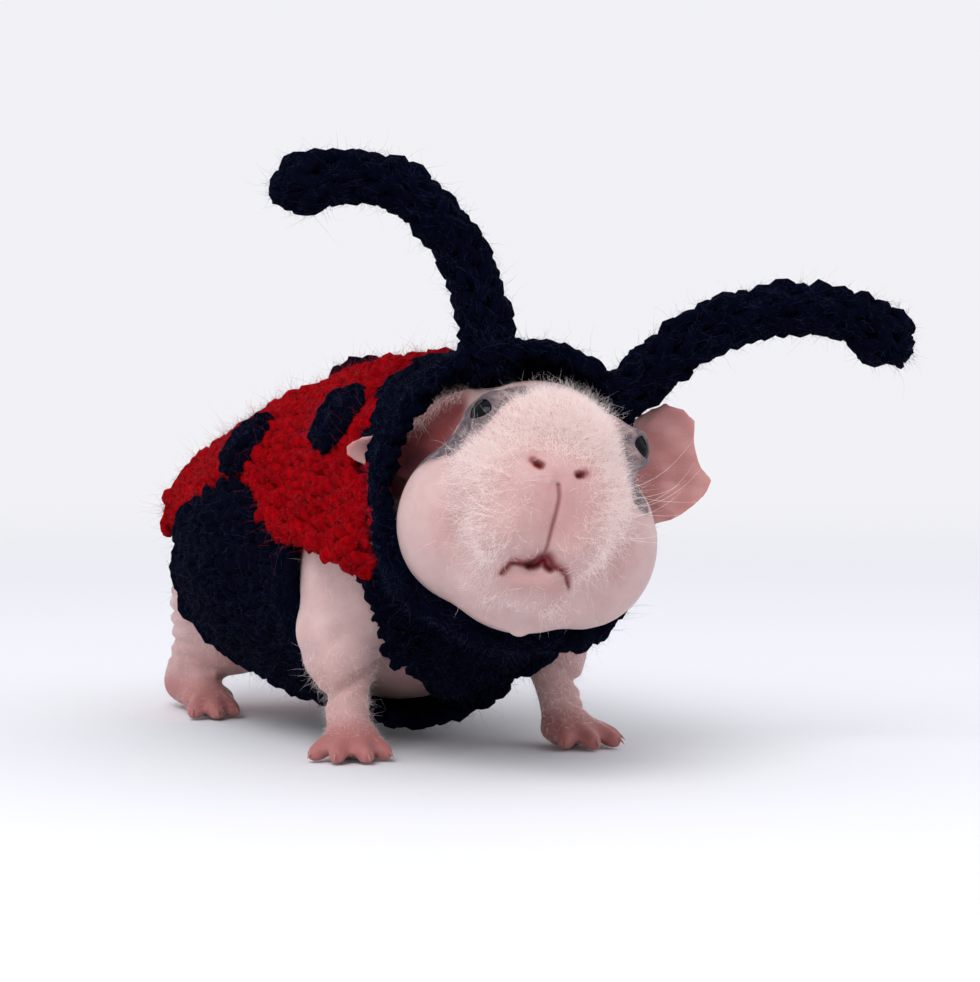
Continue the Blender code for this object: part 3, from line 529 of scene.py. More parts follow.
# Inside the hood the right ear is flushed, and away from its rim it is painted redder and deeper still, as
# painted shade
beyond = in_box(co, "ear_right", 0.003) * spread(18, 20, -at[:, 0])
flush = np.maximum(flush, beyond * (0.35 + 0.55 * off_rim))
dark = np.maximum(dark, beyond * 0.55 * off_rim * (at[:, 0] > -34))
flush = np.maximum(flush, 0.85 * spread(0.015, 0.005, co[:, 2]))
flush = np.maximum(flush, 0.3 * spread(0.030, 0.012, co[:, 2]))
grey = np.zeros(len(co))
for side in SIDES.values():
    from_eye = local(eye_frame(side), co)
    grey = np.maximum(grey, 0.9 * spread(10.5, 5.0, np.linalg.norm(from_eye, axis=1)))
for line, radius in (
    (((-29, 9, 4), (-25, 0, 7), (-21, -8, 10), (-18, -10, 15), (-15, -8, 21), (-11, -6, 25)), 10.0),
    (((17, -10, 22), (21, -9, 16), (22.5, -10, 9), (23, -10, 5)), 6.5),
):
    near = near_path(co, smooth_path([HEAD @ Vector(p) for p in line]), radius)
    grey = np.maximum(grey, spread(0.12, 0.5, near))
for name, values in (("flush", flush), ("dark", dark), ("grey", grey)):
    skin.data.attributes.new(name, "FLOAT", "POINT").data.foreach_set("value", values.astype(np.float32))

# Bare skin is matt with a faint grease shine, lets light in by about 2 mm, and is covered all over
# with fine creases about 0.7 mm apart and pores
bare, tree, place = material_of("Bare skin")
marks = {}
for name in ("flush", "grey", "dark"):
    marks[name] = add(tree, "ShaderNodeAttribute", attribute_name=name).outputs["Fac"]
mottle = add(tree, "ShaderNodeTexNoise", {"Vector": place, "Scale": 170.0, "Detail": 6.0, "Roughness": 0.65})
blotch = add(tree, "ShaderNodeTexNoise", {"Vector": place, "Scale": 420.0, "Detail": 3.0, "Roughness": 0.55})
patchy = add(tree, "ShaderNodeMapRange", {"Value": blotch, 1: 0.3, 2: 0.7, 3: 0.6, 4: 1.25})
greying = add(tree, "ShaderNodeMath", {0: marks["grey"], 1: patchy}, operation="MULTIPLY", use_clamp=True)
# The colour: random mottle, flushed skin and the grey patches, and last the painted shade of the pits,
# creases and ear hollows
tone = linear("#b48f8e")
for share, colour in (
    (mottle, "#d4b9b5"),
    (marks["flush"], "#9c5351"),
    (greying, "#4b4148"),
    (marks["dark"], "#6a131e"),
):
    tone = add(tree, "ShaderNodeMix", {"Factor": share, 6: tone, 7: linear(colour)}, data_type="RGBA")
creases = add(tree, "ShaderNodeTexVoronoi", {"Vector": place, "Scale": 1250.0}, feature="DISTANCE_TO_EDGE")
pores = add(tree, "ShaderNodeTexNoise", {"Vector": place, "Scale": 2600.0, "Detail": 3.0})
stretched = add(tree, "ShaderNodeMapping", {"Vector": place, "Scale": (0.5, 0.5, 2.6)})
wrinkles = add(tree, "ShaderNodeTexNoise", {"Vector": stretched, "Scale": 260.0, "Detail": 4.0})
bump = add(tree, "ShaderNodeBump", {"Height": creases, "Strength": 0.5, "Distance": 0.00018})
bump = add(tree, "ShaderNodeBump", {"Height": pores, "Normal": bump, "Strength": 0.35, "Distance": 0.0001})
bump = add(tree, "ShaderNodeBump", {"Height": wrinkles, "Normal": bump, "Strength": 0.25, "Distance": 0.0005})
# Painted shade also takes the shine off the skin where it lies
shaded = add(tree, "ShaderNodeMapRange", {"Value": marks["dark"], 3: 0.42, 4: 0.0})
skin_look = {
    "Base Color": tone,
    "Roughness": 0.52,
    "IOR": 1.42,
    "Normal": bump,
    "Subsurface Weight": 0.28,
    "Subsurface Radius": (1.0, 0.36, 0.22),
    "Subsurface Scale": 0.0022,
    "Specular IOR Level": shaded,
    "Sheen Weight": 0.08,
    "Sheen Roughness": 0.5,
}
shader = add(tree, "ShaderNodeBsdfPrincipled", skin_look)
add(tree, "ShaderNodeOutputMaterial", {"Surface": shader})
skin.data.materials.append(bare)
finished(skin, "skin", *FLESH)

# The eyes are glossy dark balls with a clear dome over an iris that is nearly as dark as the pupil
PUPIL_STOPS = (0.42, 0.55, 0.8)
DOME_HEIGHT = 0.045
DOME_HALF = 0.95
wet, tree = material_of("Wet dark eye")[:2]
gaze = add(tree, "ShaderNodeAttribute", attribute_name="from_pupil").outputs["Fac"]
ring = add(tree, "ShaderNodeValToRGB", {"Fac": gaze})
stops = ring.color_ramp.elements
stops.new(PUPIL_STOPS[-1])
for stop, position, colour in zip(stops, PUPIL_STOPS, ("#020308", "#060c22", "#0d1836")):
    stop.position = position
    stop.color = linear(colour)
eye_look = {"Base Color": ring, "Roughness": 0.05, "IOR": 1.376, "Specular IOR Level": 0.2}
shader = add(tree, "ShaderNodeBsdfPrincipled", eye_look)
add(tree, "ShaderNodeOutputMaterial", {"Surface": shader})
for name, side in SIDES.items():
    mesh = bpy.data.meshes.new("eyeball_" + name)
    from_pupil = []
    with reworked(mesh) as bm:
        bmesh.ops.create_uvsphere(bm, u_segments=48, v_segments=32, radius=1)
        for vertex in bm.verts:
            off_axis = math.acos(max(-1, min(1, vertex.co.z)))
            from_pupil.append(off_axis / (math.pi / 2))
            vertex.co *= 1 + DOME_HEIGHT * max(0, 1 - (off_axis / DOME_HALF) ** 2)
    mesh.attributes.new("from_pupil", "FLOAT", "POINT").data.foreach_set("value", from_pupil)
    mesh.transform(eye_frame(side) @ Matrix.Scale(EYE_RADIUS, 4))
    piece_of("eyeball_" + name, mesh, wet, "eye", "eye_" + name)

# The claws are short curved cones of pale horn, one on each toe, flattened from side to side
CLAW_RINGS = 6
CLAW_SIDES = 8
CLAW_HALF = (0.45, 0.52)
CLAW_TIP = 0.04
CLAW_OUT = 1.6
CLAW_HEIGHT = 2.6
CLAW_DROP = 1.4
horn, tree, place = material_of("Pale horn claw")
streaks = add(tree, "ShaderNodeTexNoise", {"Vector": place, "Scale": 1800.0, "Detail": 2.0})
bump = add(tree, "ShaderNodeBump", {"Height": streaks, "Strength": 0.2, "Distance": 0.00005})
horn_look = {
    "Base Color": linear("#9a6b62"),
    "Roughness": 0.45,
    "IOR": 1.54,
    "Normal": bump,
    "Subsurface Weight": 0.2,
    "Subsurface Scale": 0.001,
}
shader = add(tree, "ShaderNodeBsdfPrincipled", horn_look)
add(tree, "ShaderNodeOutputMaterial", {"Surface": shader})
for foot in FEET:
    mesh = bpy.data.meshes.new(foot[0])
    with reworked(mesh) as bm:
        for way, tip in toes_of(foot):
            rings = []
            for i in range(CLAW_RINGS):
                t = i / (CLAW_RINGS - 1)
                wide = CLAW_HALF[0] * (1 - t) ** 0.7 + CLAW_TIP
                high = CLAW_HALF[1] * (1 - t) ** 0.8 + CLAW_TIP
                centre = tip + way * (CLAW_OUT * t) + Vector((0, 0, CLAW_HEIGHT - CLAW_DROP * t**1.6))
                across = way.cross(Vector((0, 0, 1)))
                circle = []
                for j in range(CLAW_SIDES):
                    angle = 2 * math.pi * j / CLAW_SIDES
                    lift = across * math.cos(angle) * wide + Vector((0, 0, 1)) * math.sin(angle) * high
                    circle.append(bm.verts.new((centre + lift) * MM))
                rings.append(circle)
            for one, two in zip(rings, rings[1:]):
                for j in range(CLAW_SIDES):
                    k = (j + 1) % CLAW_SIDES
                    bm.faces.new((one[j], one[k], two[k], two[j]))
            bm.faces.new(rings[0][::-1])
            bm.faces.new(rings[-1])
        bmesh.ops.recalc_face_normals(bm, faces=bm.faces)
    piece_of(foot[0], mesh, horn, "skin")

# The wool is thick, fluffy, plied yarn, crocheted in rows of open V stitches. One stitch is two fat
# strands that lie side by side in a V, and each costume piece is that stitch set row by row on it
STITCH_SIDES = 6
PLIES = 3.0
PLY_TURNS = 2.2
STITCH_LEG = (
    (0.04, -0.68, -0.20, 0.13),
    (0.13, -0.38, 0.10, 0.25),
    (0.24, -0.04, 0.22, 0.30),
    (0.35, 0.28, 0.15, 0.28),
    (0.43, 0.54, -0.02, 0.22),
    (0.38, 0.74, -0.24, 0.11),
)


def tube_mesh(name, strands, sides):
    """Closed tubes along strands of (x, y, z, radius), with the UV maps Yarn and OFBake."""
    points, faces, yarn, bake = [], [], [], []
    for s, strand in enumerate(strands):
        first = len(points)
        line = [Vector(p[:3]) for p in strand]
        run = [0.0]
        for i in range(1, len(line)):
            run.append(run[-1] + (line[i] - line[i - 1]).length)
        for i, (x, y, z, radius) in enumerate(strand):
            ahead = (line[min(i + 1, len(line) - 1)] - line[max(i - 1, 0)]).normalized()
            across = ahead.cross(Vector((0, 0, 1))).normalized()
            up = across.cross(ahead)
            for j in range(sides):
                angle = 2 * math.pi * j / sides
                points.append(line[i] + (across * math.cos(angle) + up * math.sin(angle)) * radius)
        for i in range(len(strand) - 1):
            for j in range(sides):
                k = (j + 1) % sides
                a, b = first + i * sides, first + (i + 1) * sides
                faces.append((a + j, a + k, b + k, b + j))
                for u, row in ((j, i), (j + 1, i), (j + 1, i + 1), (j, i + 1)):
                    yarn.append((u / sides, run[row]))
                    bake.append(((s + u / sides) / len(strands) * 0.96, run[row] / run[-1] * 0.96))
        for ring, back in ((first, True), (first + (len(strand) - 1) * sides, False)):
            cap = [ring + j for j in range(sides)]
            faces.append(cap[::-1] if back else cap)
            yarn += [(0.0, 0.0)] * sides
            bake += [((s + 0.02) / len(strands), 0.98)] * sides
    mesh = mesh_of(name, points, faces)
    for layer, values in (("Yarn", yarn), ("OFBake", bake)):
        mesh.uv_layers.new(name=layer).data.foreach_set("uv", np.array(values, dtype=np.float32).ravel())
    mesh.shade_smooth()
    return mesh


def yarn_of(name, deep, bright):
    """Plied wool: three plies wound round each other, with fibres, a soft sheen and no gloss. Its colour is
    lighter on the raised plies and fibres and deeper between them as painted shade, and its tone varies at
    random.
    """
    made, tree, place = material_of(name)
    along = add(tree, "ShaderNodeSeparateXYZ", {0: add(tree, "ShaderNodeUVMap", uv_map="Yarn")}).outputs
    turns = add(tree, "ShaderNodeMath", {0: along["X"], 1: PLIES}, operation="MULTIPLY")
    winds = add(tree, "ShaderNodeMath", {0: along["Y"], 1: PLY_TURNS, 2: turns}, operation="MULTIPLY_ADD")
    angle = add(tree, "ShaderNodeMath", {0: winds, 1: 2 * math.pi}, operation="MULTIPLY")
    wave = add(tree, "ShaderNodeMath", {0: angle}, operation="SINE")
    fuzz = {"Vector": place, "Scale": 1500.0, "Detail": 4.0, "Roughness": 0.7}
    fibre = add(tree, "ShaderNodeTexNoise", fuzz)
    tone = add(tree, "ShaderNodeTexNoise", {"Vector": place, "Scale": 160.0, "Detail": 2.0})
    faint = add(tree, "ShaderNodeMath", {0: wave, 1: 0.45}, operation="MULTIPLY")
    height = add(tree, "ShaderNodeMath", {0: fibre, 1: 2.4, 2: faint}, operation="MULTIPLY_ADD")
    # The raised plies and fibres are painted lighter and the hollows between them deeper: painted shade
    lit = add(tree, "ShaderNodeMapRange", {"Value": height, 1: -0.6, 2: 2.2, 3: 0.0, 4: 1.0})
    toned = add(tree, "ShaderNodeMapRange", {"Value": tone, 1: 0.3, 2: 0.7, 3: 0.55, 4: 1.2})
    mixed = add(tree, "ShaderNodeMath", {0: lit, 1: toned}, operation="MULTIPLY")
    dyes_and_shade = {"Factor": mixed, 6: linear(deep), 7: linear(bright)}
    look = {
        "Base Color": add(tree, "ShaderNodeMix", dyes_and_shade, data_type="RGBA"),
        "Roughness": 0.95,
        "Normal": add(tree, "ShaderNodeBump", {"Height": height, "Strength": 0.7, "Distance": 0.0003}),
        "Specular IOR Level": 0.02,
        "Sheen Weight": 0.05,
        "Sheen Roughness": 0.5,
        "Sheen Tint": linear(bright),
    }
    add(tree, "ShaderNodeOutputMaterial", {"Surface": add(tree, "ShaderNodeBsdfPrincipled", look)})
    return made


black_yarn = yarn_of("Black plied wool yarn", "#00010a", "#050819")
red_yarn = yarn_of("Red plied wool yarn", "#4a0004", "#a8020d")


def wool_slot(material):
    return "red_wool" if material.name.startswith("Red") else "black_wool"


def group_of(name, inputs, vectors):
    """A Geometry Nodes group: returns it, its inputs, and the vectors that its roots carry."""
    tree = bpy.data.node_groups.new(name, "GeometryNodeTree")
    tree.interface.new_socket("Geometry", in_out="OUTPUT", socket_type="NodeSocketGeometry")
    for title, kind in (("Geometry", "Geometry"), *inputs):
        tree.interface.new_socket(title, in_out="INPUT", socket_type="NodeSocket" + kind)
    carried = {}
    for title in vectors:
        settings = {"data_type": "FLOAT_VECTOR"}
        carried[title] = add(tree, "GeometryNodeInputNamedAttribute", {"Name": title}, **settings)
    return tree, add(tree, "NodeGroupInput").outputs, carried


def made_by(name, roots, tree, values):
    """The mesh that a Geometry Nodes group makes from a mesh of roots, as an object of its own."""
    obj = object_of(name, roots)
    modifier = obj.modifiers.new("Grow", "NODES")
    modifier.node_group = tree
    for item in tree.interface.items_tree:
        if item.in_out == "INPUT" and item.name in values:
            modifier[item.identifier] = values[item.name]
    evaluated(obj)
    for extra in ("out", "up", "size", "cell", "root", "aim", "lie"):
        if extra in obj.data.attributes:
            obj.data.attributes.remove(obj.data.attributes[extra])
    return obj


def roots_of(name, points, **vectors):
    """A mesh of loose points that carry vectors."""
    mesh = bpy.data.meshes.new(name)
    mesh.from_pydata([tuple(p) for p in points], [], [])
    for key, values in vectors.items():
        flat = np.array([tuple(v) for v in values], dtype=np.float32).ravel()
        mesh.attributes.new(key, "FLOAT_VECTOR", "POINT").data.foreach_set("vector", flat)
    return mesh


def baked_at(tree, solid, cell, patch, material):
    """Ends a group: lays the patch of each copy at its cell of the map OFBake, and gives it its material."""
    spot = add(tree, "ShaderNodeVectorMath", {0: cell, 1: patch})
    values = {"Geometry": solid, "Name": "OFBake", "Value": spot}
    stored = add(tree, "GeometryNodeStoreNamedAttribute", values, data_type="FLOAT2", domain="CORNER")
    dyed = add(tree, "GeometryNodeSetMaterial", {"Geometry": stored, "Material": material})
    add(tree, "NodeGroupOutput", {"Geometry": dyed})


inputs = {
    "Stitch": "Object",
    "Turn": "Float",
    "Size spread": "Float",
    "Cell": "Float",
    "Seed": "Int",
    "Yarn": "Material",
}
stitching, given, carried = group_of("Stitches", inputs.items(), ("out", "up", "size", "cell", "OFBake"))
group = stitching
axes = {"Primary Axis": carried["out"], "Secondary Axis": carried["up"]}
facing = add(group, "FunctionNodeAxesToRotation", axes, primary_axis="Z", secondary_axis="Y")
ends = {0: (-1, -1, -1), 1: (1, 1, 1), "Seed": given["Seed"]}
tipped = add(group, "FunctionNodeRandomValue", ends, data_type="FLOAT_VECTOR")
askew = add(group, "FunctionNodeAxisAngleToRotation", {"Axis": tipped, "Angle": given["Turn"]})
turns = {"Rotation": facing, "Rotate By": askew}
turned = add(group, "FunctionNodeRotateRotation", turns, rotation_space="LOCAL")
less = add(group, "ShaderNodeMath", {0: 1.0, 1: given["Size spread"]}, operation="SUBTRACT")
more = add(group, "ShaderNodeMath", {0: 1.0, 1: given["Size spread"]}, operation="ADD")
share = add(group, "FunctionNodeRandomValue", {2: less, 3: more, "Seed": given["Seed"]})
sized = add(group, "ShaderNodeVectorMath", {0: carried["size"], "Scale": share}, operation="SCALE")
dots = add(group, "GeometryNodeMeshToPoints", {"Mesh": given["Geometry"]})
shape = add(group, "GeometryNodeObjectInfo", {"Object": given["Stitch"]}).outputs["Geometry"]
setting = {"Points": dots, "Instance": shape, "Rotation": turned, "Scale": sized}
set_out = add(group, "GeometryNodeInstanceOnPoints", setting)
real = add(group, "GeometryNodeRealizeInstances", {"Geometry": set_out})
here = add(group, "GeometryNodeInputPosition")
lumps = add(group, "ShaderNodeTexNoise", {"Vector": here, "Scale": 750.0, "Detail": 2.0}).outputs["Color"]
uneven = add(group, "ShaderNodeVectorMath", {0: lumps, 1: (0.5, 0.5, 0.5)}, operation="SUBTRACT")
uneven = add(group, "ShaderNodeVectorMath", {0: uneven, "Scale": 0.0022}, operation="SCALE")
teased = add(group, "GeometryNodeSetPosition", {"Geometry": real, "Offset": uneven})
shrinking = {0: carried["OFBake"], "Scale": given["Cell"]}
shrunk = add(group, "ShaderNodeVectorMath", shrinking, operation="SCALE")
baked_at(group, teased, carried["cell"], shrunk, given["Yarn"])

legs = [[(s * x, y, z + 0.03 * s, r) for x, y, z, r in STITCH_LEG] for s in (-1, 1)]
stitch = object_of("stitch pattern", tube_mesh("stitch pattern", legs, STITCH_SIDES))
stitch_spots = {}


def crocheted(name, spots, material, seed, turn=0.3, spread_by=0.2):
    """Sets a stitch on each of the spots: (place, way out, way up the column, size in millimetres)."""
    side = math.ceil(math.sqrt(len(spots)))
    cells = [((i % side) / side, (i // side) / side, 0) for i in range(len(spots))]
    points, outs, ups, sizes = zip(*spots)
    sizes = [Vector(size) * MM for size in sizes]
    roots = roots_of(name, points, out=outs, up=ups, size=sizes, cell=cells)
    stitch_spots[name] = spots
    values = {"Stitch": stitch, "Turn": turn, "Size spread": spread_by, "Cell": 1 / side, "Seed": seed}
    made = made_by(name, roots, stitching, {**values, "Yarn": material})
    return finished(made, wool_slot(material))


def hits(node, rays, sink, size):
    """Where rays from outside meet a node: each ray is (start inside, way out, way up the column)."""
    tree = tree_of(merged_copy(node))
    found = []
    for start, way, up in rays:
        way = way.normalized()
        hit = tree.ray_cast(start + way * 0.12, -way, 0.12)
        if hit[0]:
            out = (hit[1] + way * 0.6).normalized()
            found.append((hit[0] - out * sink * MM, out, up, size))
    return found


def lining(node, material, trim=None):
    """The cloth of a piece under its stitches: the CAD node, drawn in by a millimetre."""
    mesh = merged_copy(node, -1.0)
    if trim:
        put_places(mesh, trim(places(mesh)))
    made = piece_of(node + "_cloth", mesh, material, wool_slot(material), node)
    return made


def shaded_cloth_of(name, deep, bright):
    """The wool between the stitches, lumpy, and deeper in colour than the yarn, as painted shade."""
    made, tree, place = material_of(name)
    lumps = add(tree, "ShaderNodeTexVoronoi", {"Vector": place, "Scale": 420.0}, feature="SMOOTH_F1")
    fibre = add(tree, "ShaderNodeTexNoise", {"Vector": place, "Scale": 1300.0, "Detail": 4.0})
    dyes_and_shade = {"Factor": fibre, 6: linear(deep), 7: linear(bright)}
    bump = add(tree, "ShaderNodeBump", {"Height": lumps, "Strength": 1.0, "Distance": 0.0012}, invert=True)
    bump = add(tree, "ShaderNodeBump", {"Height": fibre, "Normal": bump, "Strength": 0.7, "Distance": 0.0004})
    look = {
        "Base Color": add(tree, "ShaderNodeMix", dyes_and_shade, data_type="RGBA"),
        "Roughness": 0.95,
        "Normal": bump,
        "Specular IOR Level": 0.02,
    }
    add(tree, "ShaderNodeOutputMaterial", {"Surface": add(tree, "ShaderNodeBsdfPrincipled", look)})
    return made


# The cloth has the yarn's colours made deeper, as painted shade in the gaps between the stitches
shaded_black_cloth = shaded_cloth_of("Black wool cloth", "#000008", "#030515")
shaded_red_cloth = shaded_cloth_of("Red wool cloth", "#280003", "#6a020a")

# The red wing cover is worked across the back, row by row from the neckline to the rump, and its
# lower edges are bound with one round of stitches
BODY = Matrix.Scale(MM, 4) @ Matrix.Translation(BODY_AT)
TRUNK_AXIS = ((-20, 60), (50, 42))
BACK_RADIUS = 44
NECKLINE_TOP = 48.0
NECKLINE_SIDE = 71.0
WING_STATIONS = (-66, -50, -36, -8, 12, 45, 64, 82)
WING_ANGLES = (95, 95, 87, 66, 66, 76, 72, 62)
WING_TRIM = ((-78, -62, -48, -38), (0.99, 0.95, 0.91, 1.0))
WING_LAP = 11.0
WING_GAP = 1.2
WING_REAR = 61
WING_END = -86
LAP_ROWS = 3
LAP_COUNT = 10
SIDE_COUNT = 38
REAR_COUNT = 21
FRONT_COUNT = 23
RUMP_BEND_Y = 62.0
RUMP_BEND = 3.2
ROW_STEP = 4.8
STITCH_STEP = 5.4


def staggered(rows, count):
    """Stitches in rows, every other row half a stitch along: (row, place along it)."""
    return [(i, j + 0.5 * (i % 2)) for i in range(rows) for j in range(count)]


def side_to_side(count):
    """Evenly spaced shares from -1 to 1."""
    return [2 * i / (count - 1) - 1 for i in range(count)]


def clear_of_ear(spots, gap):
    """The spots that leave a gap, in millimetres, to the tip of the right ear."""
    return [spot for spot in spots if (spot[0] - EAR_TIP).length > gap * MM]


def body_axis(y):
    """The axis of the trunk that the rows turn round, in the body's own millimetres."""
    return Vector((0, y, float(np.interp(y, *TRUNK_AXIS))))


def neckline(angle):
    """How far forward the hood's rear edge lies: the angle is 0 at the top, in radians."""
    low = -NECKLINE_SIDE if math.cos(angle) < 0 else -NECKLINE_TOP
    return low - (NECKLINE_SIDE - NECKLINE_TOP) * (math.sin(angle) ** 2 if math.cos(angle) > 0 else 0)


def wing_edge(y):
    return float(np.interp(y, WING_STATIONS, WING_ANGLES))


def trimmed_edge(station):
    """Where the wing cover's lower edge is seen: over the forelegs it is drawn up a little."""
    return wing_edge(station) * float(np.interp(station, *WING_TRIM))


def back_ray(station, angle):
    """A ray out of the trunk at a station and an angle from the ridge of the back."""
    lean = math.radians(max(0, station - RUMP_BEND_Y) * RUMP_BEND)
    way = Vector((math.sin(angle), math.cos(angle) * math.sin(lean), math.cos(angle) * math.cos(lean)))
    up = Vector((0, math.cos(lean), -math.sin(lean)))
    return BODY @ body_axis(min(station, RUMP_BEND_Y)), way, up


def wing_front(across):
    """Where the wing cover begins, at a share of its width from the ridge of the back."""
    lap = WING_LAP * math.sin(math.pi / 2 * across) ** 2
    return neckline(math.radians(WING_ANGLES[0] * across)) + WING_GAP - lap


def round_ear(co):
    """How much the hood's rim gives way to the right ear, from 0 to 1."""
    at = local(HEAD, np.array(co))
    bearing = np.degrees(np.arctan2(at[:, 2], -at[:, 0]))
    return spread(-25, 5, bearing) * spread(108, 82, bearing) * spread(26, 12, at[:, 1])


rays = []
row = 0
station = WING_STATIONS[-1] - 2.4
while station > WING_END:
    half = math.radians(trimmed_edge(station)) - 0.06
    count = max(2, round(2 * half * BACK_RADIUS / STITCH_STEP))
    for j in range(count + 1):
        across = 2 * (j + 0.5 * (row % 2)) / count - 1
        if abs(across) <= 1 and station > wing_front(across) + 2.2:
            rays.append(back_ray(station, half * across))
    row += 1
    station -= ROW_STEP
lap = []
for side in SIDES.values():
    for row, j in staggered(LAP_ROWS, LAP_COUNT):
        across = side * (0.42 + 0.04 * j)
        bulge = math.sin(math.pi * (int(j) + 1) / (LAP_COUNT + 1)) ** 0.6
        station = wing_front(across) - 0.8 - 3.2 * row * bulge
        lap.append(back_ray(station, math.radians(WING_ANGLES[0]) * across))
found = clear_of_ear(hits("wing_cover", rays, 1.6, (6.6, 6.0, 5.0)), 6)
lapped = clear_of_ear(hits("hood", lap, 0.8, (6.4, 5.8, 5.0)), 8)
lapped = [spot for spot in lapped if round_ear([spot[0]])[0] < 0.75]
wing_stitches = crocheted("wing_stitches", found + lapped, red_yarn, 11)

edge = []
for side in SIDES.values():
    for i in range(SIDE_COUNT):
        long = WING_STATIONS[-1] - wing_front(side) - 2
        station = wing_front(side) + 1.5 + long * i / (SIDE_COUNT - 1)
        edge.append((*back_ray(station, side * (math.radians(trimmed_edge(station)) - 0.045)), 0))
for across in side_to_side(REAR_COUNT):
    start, way, up = back_ray(WING_STATIONS[-1] - 1.4, math.radians(WING_REAR) * across)
    edge.append((start, way, way.cross(up), 1))
for across in side_to_side(FRONT_COUNT):
    across *= 0.97
    station = wing_front(across) + 1.5
    start, way, up = back_ray(station, math.radians(trimmed_edge(station)) * across)
    edge.append((start, way, way.cross(up), 2))
found = []
for start, way, up, kind in edge:
    bound = hits("wing_cover", [(start, way, up)], 1.7, (5.4, 6.0, 5.0))
    for spot, out, along, size in clear_of_ear(bound, 6):
        down = Vector((0, 0, -0.35)) if kind == 0 else Vector((0, 0.45 if kind == 1 else -0.3, 0))
        found.append((spot, (out + down).normalized(), along, size))
wing_border = crocheted("wing_border", found, red_yarn, 12, 0.25)

# Six black spots are crocheted in the round, from the middle out, and sewn on the wings
SPOT_TURNS = (-44, 44, -55, 55, 0, 0)
SPOT_ROUNDS = ((0.0, 1, 3.8), (2.7, 6, 3.8), (5.2, 10, 4.2), (7.0, 13, 4.6))


def round_trunk(angle):
    """The way out of the trunk at an angle from the ridge of the back, and the way round it."""
    return Vector((math.sin(angle), 0, math.cos(angle))), Vector((math.cos(angle), 0, -math.sin(angle)))


spot_pieces = []
for k, degrees in enumerate(SPOT_TURNS):
    way, across = round_trunk(math.radians(degrees))
    name = f"spot_{k + 1}"
    low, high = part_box(name)
    middle = (low + high) / 2
    found = []
    for radius, count, size in SPOT_ROUNDS:
        for j in range(count):
            bearing = 2 * math.pi * (j + 0.3 * k) / count
            radial = across * math.cos(bearing) + Vector((0, 1, 0)) * math.sin(bearing)
            lie = radial.cross(way) if radius > 6 else radial
            rays = [(middle + radial * radius * MM - way * 0.01, way, lie)]
            for spot, out, along, sizes in hits(name, rays, 1.1, (size, size, size * 0.9)):
                found.append((spot, (out + radial * (radius / 9) ** 2).normalized(), along, sizes))
    disc = crocheted(name + "_stitches", found, black_yarn, 30 + k, 0.35)
    mesh = merged_copy(name, -0.5)
    mesh.materials.append(shaded_black_cloth)
    base = object_of(name + "_cloth", mesh)
    finished(base, "black_wool", name)
    spot_pieces += [disc, base]


def drawn_up(co):
    """Turns the wing cover's lower edges up round the trunk's axis, as far as they are trimmed."""
    in_body = co / MM - np.array(BODY_AT)
    axis = np.interp(in_body[:, 1], *TRUNK_AXIS)
    angle = np.arctan2(in_body[:, 0], in_body[:, 2] - axis)
    reach = np.hypot(in_body[:, 0], in_body[:, 2] - axis)
    edge = np.radians(np.interp(in_body[:, 1], WING_STATIONS, WING_ANGLES))
    share = 1 - np.interp(in_body[:, 1], *WING_TRIM)
    angle *= 1 - share * spread(0.5, 1.0, np.abs(angle) / edge)
    moved = np.column_stack((reach * np.sin(angle), in_body[:, 1], axis + reach * np.cos(angle)))
    return (moved + np.array(BODY_AT)) * MM


lining("wing_cover", shaded_red_cloth, drawn_up)

# The hood is worked in rounds from the face opening to the neckline, and its rim is a thick roll
RIM_ANGLES = (0, 20, 38, 90, 125, 180, 270, 330, 360)
RIM_DEPTHS = (-2, 0, 15, 20, 15, 2, 6, 0, -2)
HOOD_ROUNDS = 11
HOOD_COUNT = 38
ROLL_COUNT = 64
ROLL_LEANS = (0.35, 1.3)
ROLL_GIVES = 0.28


def hood_ray(angle, share):
    """A ray out of the hood: the angle is 0 at the top, and the share runs from rim to neckline."""
    way = round_trunk(angle)[0]
    rim = float(np.interp(math.degrees(angle) % 360, RIM_ANGLES, RIM_DEPTHS))
    at_face = HEAD @ Vector((0, rim, 2))
    at_neck = BODY @ body_axis(neckline(angle))
    look = (HEAD.to_3x3() @ way).normalized().lerp(way, share)
    return at_face.lerp(at_neck, share), look, (at_neck - at_face).normalized()


def opened(co):
    """Thins the hood's rim from inside, round the right ear."""
    at = local(HEAD, co)
    outward = at * np.array((1, 0, 1))
    outward /= np.linalg.norm(outward, axis=1)[:, None] + 1e-6
    outward = outward @ head_turn.T
    faces_in = -(places_out * outward).sum(1) > 0.2
    return co + (round_ear(co) * (0.5 + 1.3 * faces_in) * MM)[:, None] * outward


